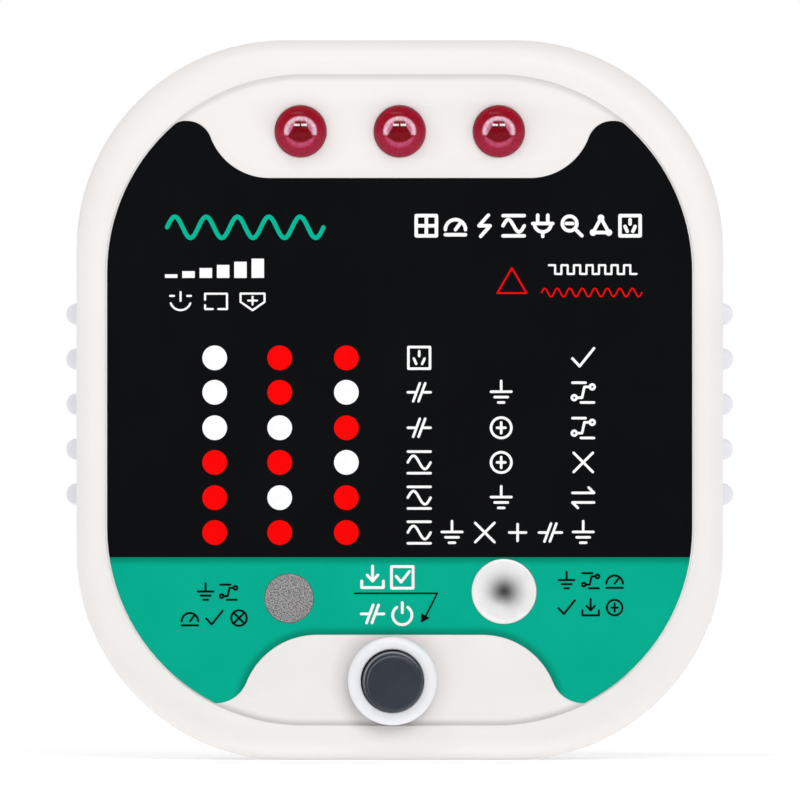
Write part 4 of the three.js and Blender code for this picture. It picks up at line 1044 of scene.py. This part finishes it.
def painted_edge_highlight(shader, base):
    """The cap's colour with a painted highlight on its outer edge and on the edge of its face, strongest
    towards the upper left.
    """
    x, _, z = shader.split()
    rise = shader.math("SUBTRACT", z, shader.math("MULTIPLY", x, 0.5))
    lean = shader.math("DIVIDE", rise, shader.length(x, z))
    # The painted highlight fades from the upper left to almost nothing at the lower right.
    upper = shader.remap(lean, -0.2, 1.0, 0.04, 1.0, smooth=True)
    edge_highlight = 0.0
    # Each ring by its radius, half width, strength and share of the face's shift.
    for radius, half, most, share in ((2.77, 0.09, 1.0, 0), (2.55, 0.09, 0.4, 1)):
        off_x = shader.math("SUBTRACT", x, CAP_SHIFT[0] * share * MM)
        off_z = shader.math("SUBTRACT", z, CAP_SHIFT[1] * share * MM)
        off = shader.math("ABSOLUTE", shader.math("SUBTRACT", shader.length(off_x, off_z), radius * MM))
        ring = shader.remap(off, half * 0.3 * MM, half * MM, most, 0, smooth=True)
        edge_highlight = shader.math("MAXIMUM", edge_highlight, ring)
    return shader.blend(shader.math("MULTIPLY", edge_highlight, upper), base, srgb(150, 154, 160))


COLLAR = moulded("satin_collar", srgb(248, 248, 252), srgb(242, 243, 248), 0.33, 0.2, 0.0015, 6)
# The dark cap, with a painted highlight on its edges.
CAP = moulded("dark_cap", srgb(47, 53, 63), srgb(40, 46, 56), 0.36, 0.22, 0.004, 2.2, light_paint=painted_edge_highlight,
              Specular_IOR_Level=0.3)
piece("button_collar", collar(), [COLLAR], "case", ["rcd_button_collar"],
      at=(BUTTON[0], 0, BUTTON[1]))
piece("button_cap", cap(), [CAP], "rcd_button", ["rcd_button_cap"], sharp=40,
      at=(BUTTON[0] + CAP_PLAY, 0, BUTTON[1] - CAP_PLAY))

SPRING = metal("spring_steel", srgb(186, 188, 190), srgb(160, 162, 166), 0.3, 0.2)
coil = piece("return_spring", return_spring(), [SPRING], "case", ["rcd_button_spring"],
             at=(BUTTON[0], 0, BUTTON[1]))
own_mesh(coil)


# ---- Plug pins and case screws ----

def blade(length):
    """A flat blade along Y with eased edges and a tapered tip, its shoulder and its tail."""
    tail, shoulder, width, shoulder_front, shoulder_back, half_thick = 1.8, 4.2, 3.2, -6.2, -5.2, 0.75
    right = [(tail, -12), (tail, shoulder_front), (shoulder, shoulder_front), (shoulder, shoulder_back),
             (width, shoulder_back), (width, length - 1.6), (2.95, length - 0.9), (2.4, length - 0.25),
             (1.9, length)]
    outline = right + [(-x, y) for x, y in reversed(right)]
    return bevelled(tube([[(x, y, z) for x, y in outline] for z in (-half_thick, half_thick)]), 0.22, 4, 40)


def turned_about_y(mesh, angle):
    bmesh.ops.transform(mesh, matrix=Matrix.Rotation(-angle, 4, "Y"), verts=mesh.verts)
    return mesh


def case_screw():
    """A pan-head case screw with a tapered cross recess, pointing to -Y."""
    shank, root, thread_start, thread_end, pitch = 1.4, 1.12, -23.2, -12.6, 1.0
    profile = [(0, -25), (0.5, -25), (0.9, -24.6), (1.3, -23.9), (shank, -23.4)]
    y = thread_start
    while y < thread_end:
        profile += [(shank, y), (root, y + 0.35), (root, y + 0.45), (shank, y + 0.8)]
        y += pitch
    profile += [(shank, -11.1), (1.5, -10.95), (2.5, -10.95), (2.6, -10.8), (2.6, -10.0), (2.52, -9.7),
                (2.3, -9.45), (1.9, -9.25), (1.3, -9.17), (0, -9.15)]
    arms = []
    for half_x, half_z in ((1.7, 0.3), (0.3, 1.7)):
        rings = []
        for y, scale in ((-10.2, 0.55), (-9.9, 0.8), (-8.5, 1.05)):
            rings.append((y, [(sx * half_x * scale, sz * half_z * scale)
                              for sx, sz in ((-1, -1), (1, -1), (1, 1), (-1, 1))]))
        arms.append(lofted(rings))
    return carved(turned(profile, 48), (), arms)


PIN = metal("nickel_blade", srgb(214, 208, 194), srgb(196, 188, 170), 0.27, 0.3, (1, 0.08, 1), 0.0025)
ZINC = metal("zinc_screw", srgb(190, 193, 196), srgb(166, 169, 173), 0.34, 0.4)
for pin_name, x, z, turn, length in pin_places():
    piece(pin_name + "_blade", turned_about_y(blade(length), turn), [PIN], "case",
          [pin_name + "_pin"], at=(x, 0, z))
screw_names = ("top_left", "top_right", "bottom_left", "bottom_right")
for corner, (x, z) in zip(screw_names, four_corners(SCREW_X, SCREW_Z)):
    piece("screw_" + corner, case_screw(), [ZINC], "case", ["case_screw_" + corner], at=(x, 0, z))


# ---- Finishes of the pieces inside, which keep their CAD shapes ----

def banded(name, body, shade, axis, centre, bands):
    """A painted body with colour bands (place, half width, colour) across an axis; its leads stay tin."""
    half_length, edge = 3.15, 0.01
    shader = Shader(name, Roughness=0.4)
    along = shader.math("SUBTRACT", shader.split()["XYZ".index(axis)], centre * MM)
    colour = shader.cloudy(0.8, body, shade)
    for place, half, band in bands:
        near = shader.math("ABSOLUTE", shader.math("SUBTRACT", along, place * MM))
        colour = shader.blend(shader.remap(near, half * MM, (half + 0.04) * MM, 1, 0), colour, band)
    away = shader.math("ABSOLUTE", along)
    lead = shader.remap(away, (half_length - edge) * MM, (half_length + edge) * MM, 0, 1)
    shader.feed("Metallic", lead)
    return shader.surface(shader.blend(lead, colour, srgb(196, 198, 200)), shader.noise(0.5), (0.32, 0.48),
                          shader.noise(0.3), 0.4, 0.004)


def board_material():
    """Green solder mask over faint copper tracks."""
    shader = Shader("solder_mask")
    cells = shader.add("TexVoronoi", {"Vector": shader.place(), "Scale": 260.0}, feature="DISTANCE_TO_EDGE")
    track = shader.remap(cells.outputs[0], 0.05, 0.07, 1, 0)
    colour = shader.blend(track, shader.cloudy(6, srgb(16, 92, 48), srgb(22, 104, 56)), srgb(46, 138, 70))
    return shader.surface(colour, shader.noise(1.5, 3), (0.28, 0.42), track, 0.5, 0.03)


def glass_material():
    shader = Shader("neon_glass", Transmission_Weight=0.85, IOR=1.5)
    tint = shader.cloudy(1.5, (0.92, 0.88, 0.84), (0.96, 0.94, 0.92), 2)
    return shader.surface(tint, shader.noise(0.8), (0.03, 0.1), shader.noise(1.0), 0.3, 0.01)


RESISTOR_BANDS = [(-2.1, 0.28, srgb(168, 90, 34)), (-1.05, 0.25, srgb(16, 16, 16)),
                  (-0.2, 0.25, srgb(16, 16, 16)), (0.65, 0.25, srgb(232, 190, 40)),
                  (2.1, 0.28, srgb(120, 68, 32))]
BLUE = (srgb(112, 170, 200), srgb(100, 158, 190))
brass = metal("stamped_brass", srgb(206, 166, 82), srgb(186, 146, 68), 0.3, 0.3, (0.3, 1, 1), 0.003)
cement = moulded("cement_body", srgb(224, 220, 210), srgb(206, 200, 188), 0.8, 0.35, 0.03, 3)
black = moulded("black_moulding", srgb(34, 34, 37), srgb(28, 28, 31), 0.5, 0.25, 0.006, 4)
FINISHES = {
    "neon_lamp": glass_material(),
    "touch_contact_spring": SPRING,
    "rcd_switch_plunger": black, "rcd_switch_housing": black, "pin_retainer": black,
    "rcd_moving_contact": brass, "rcd_fixed_contact_left": brass, "rcd_fixed_contact_right": brass,
    "circuit_board": board_material(),
    "touch_resistor": banded("touch_resistor_lacquer", *BLUE, "X", 0, RESISTOR_BANDS),
    "rcd_load_resistor": cement,
    "earth_wire": moulded("earth_insulation", srgb(70, 160, 62), srgb(186, 190, 40), 0.45, 0.3, 0.004, 2.5),
    "live_wire": moulded("live_insulation", srgb(112, 62, 34), srgb(98, 52, 28), 0.45, 0.3, 0.004),
    "neutral_wire": moulded("neutral_insulation", srgb(46, 98, 178), srgb(38, 84, 160), 0.45, 0.3, 0.004),
    "board_screw_left": ZINC, "board_screw_right": ZINC, "retainer_screw_left": ZINC,
    "retainer_screw_right": ZINC,
}
resistor = banded("resistor_lacquer", *BLUE, "Z", 15, RESISTOR_BANDS)
diode = banded("diode_epoxy", srgb(24, 24, 25), srgb(34, 34, 36), "Z", 0, [(1.8, 0.3, srgb(206, 208, 210))])
for side in ("left", "middle", "right"):
    FINISHES["led_resistor_" + side] = resistor
    FINISHES["led_diode_" + side] = diode
for node, material in FINISHES.items():
    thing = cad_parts[node]
    if not thing.material_slots:
        thing.data.materials.append(material)
    for material_slot in thing.material_slots:
        material_slot.material = material
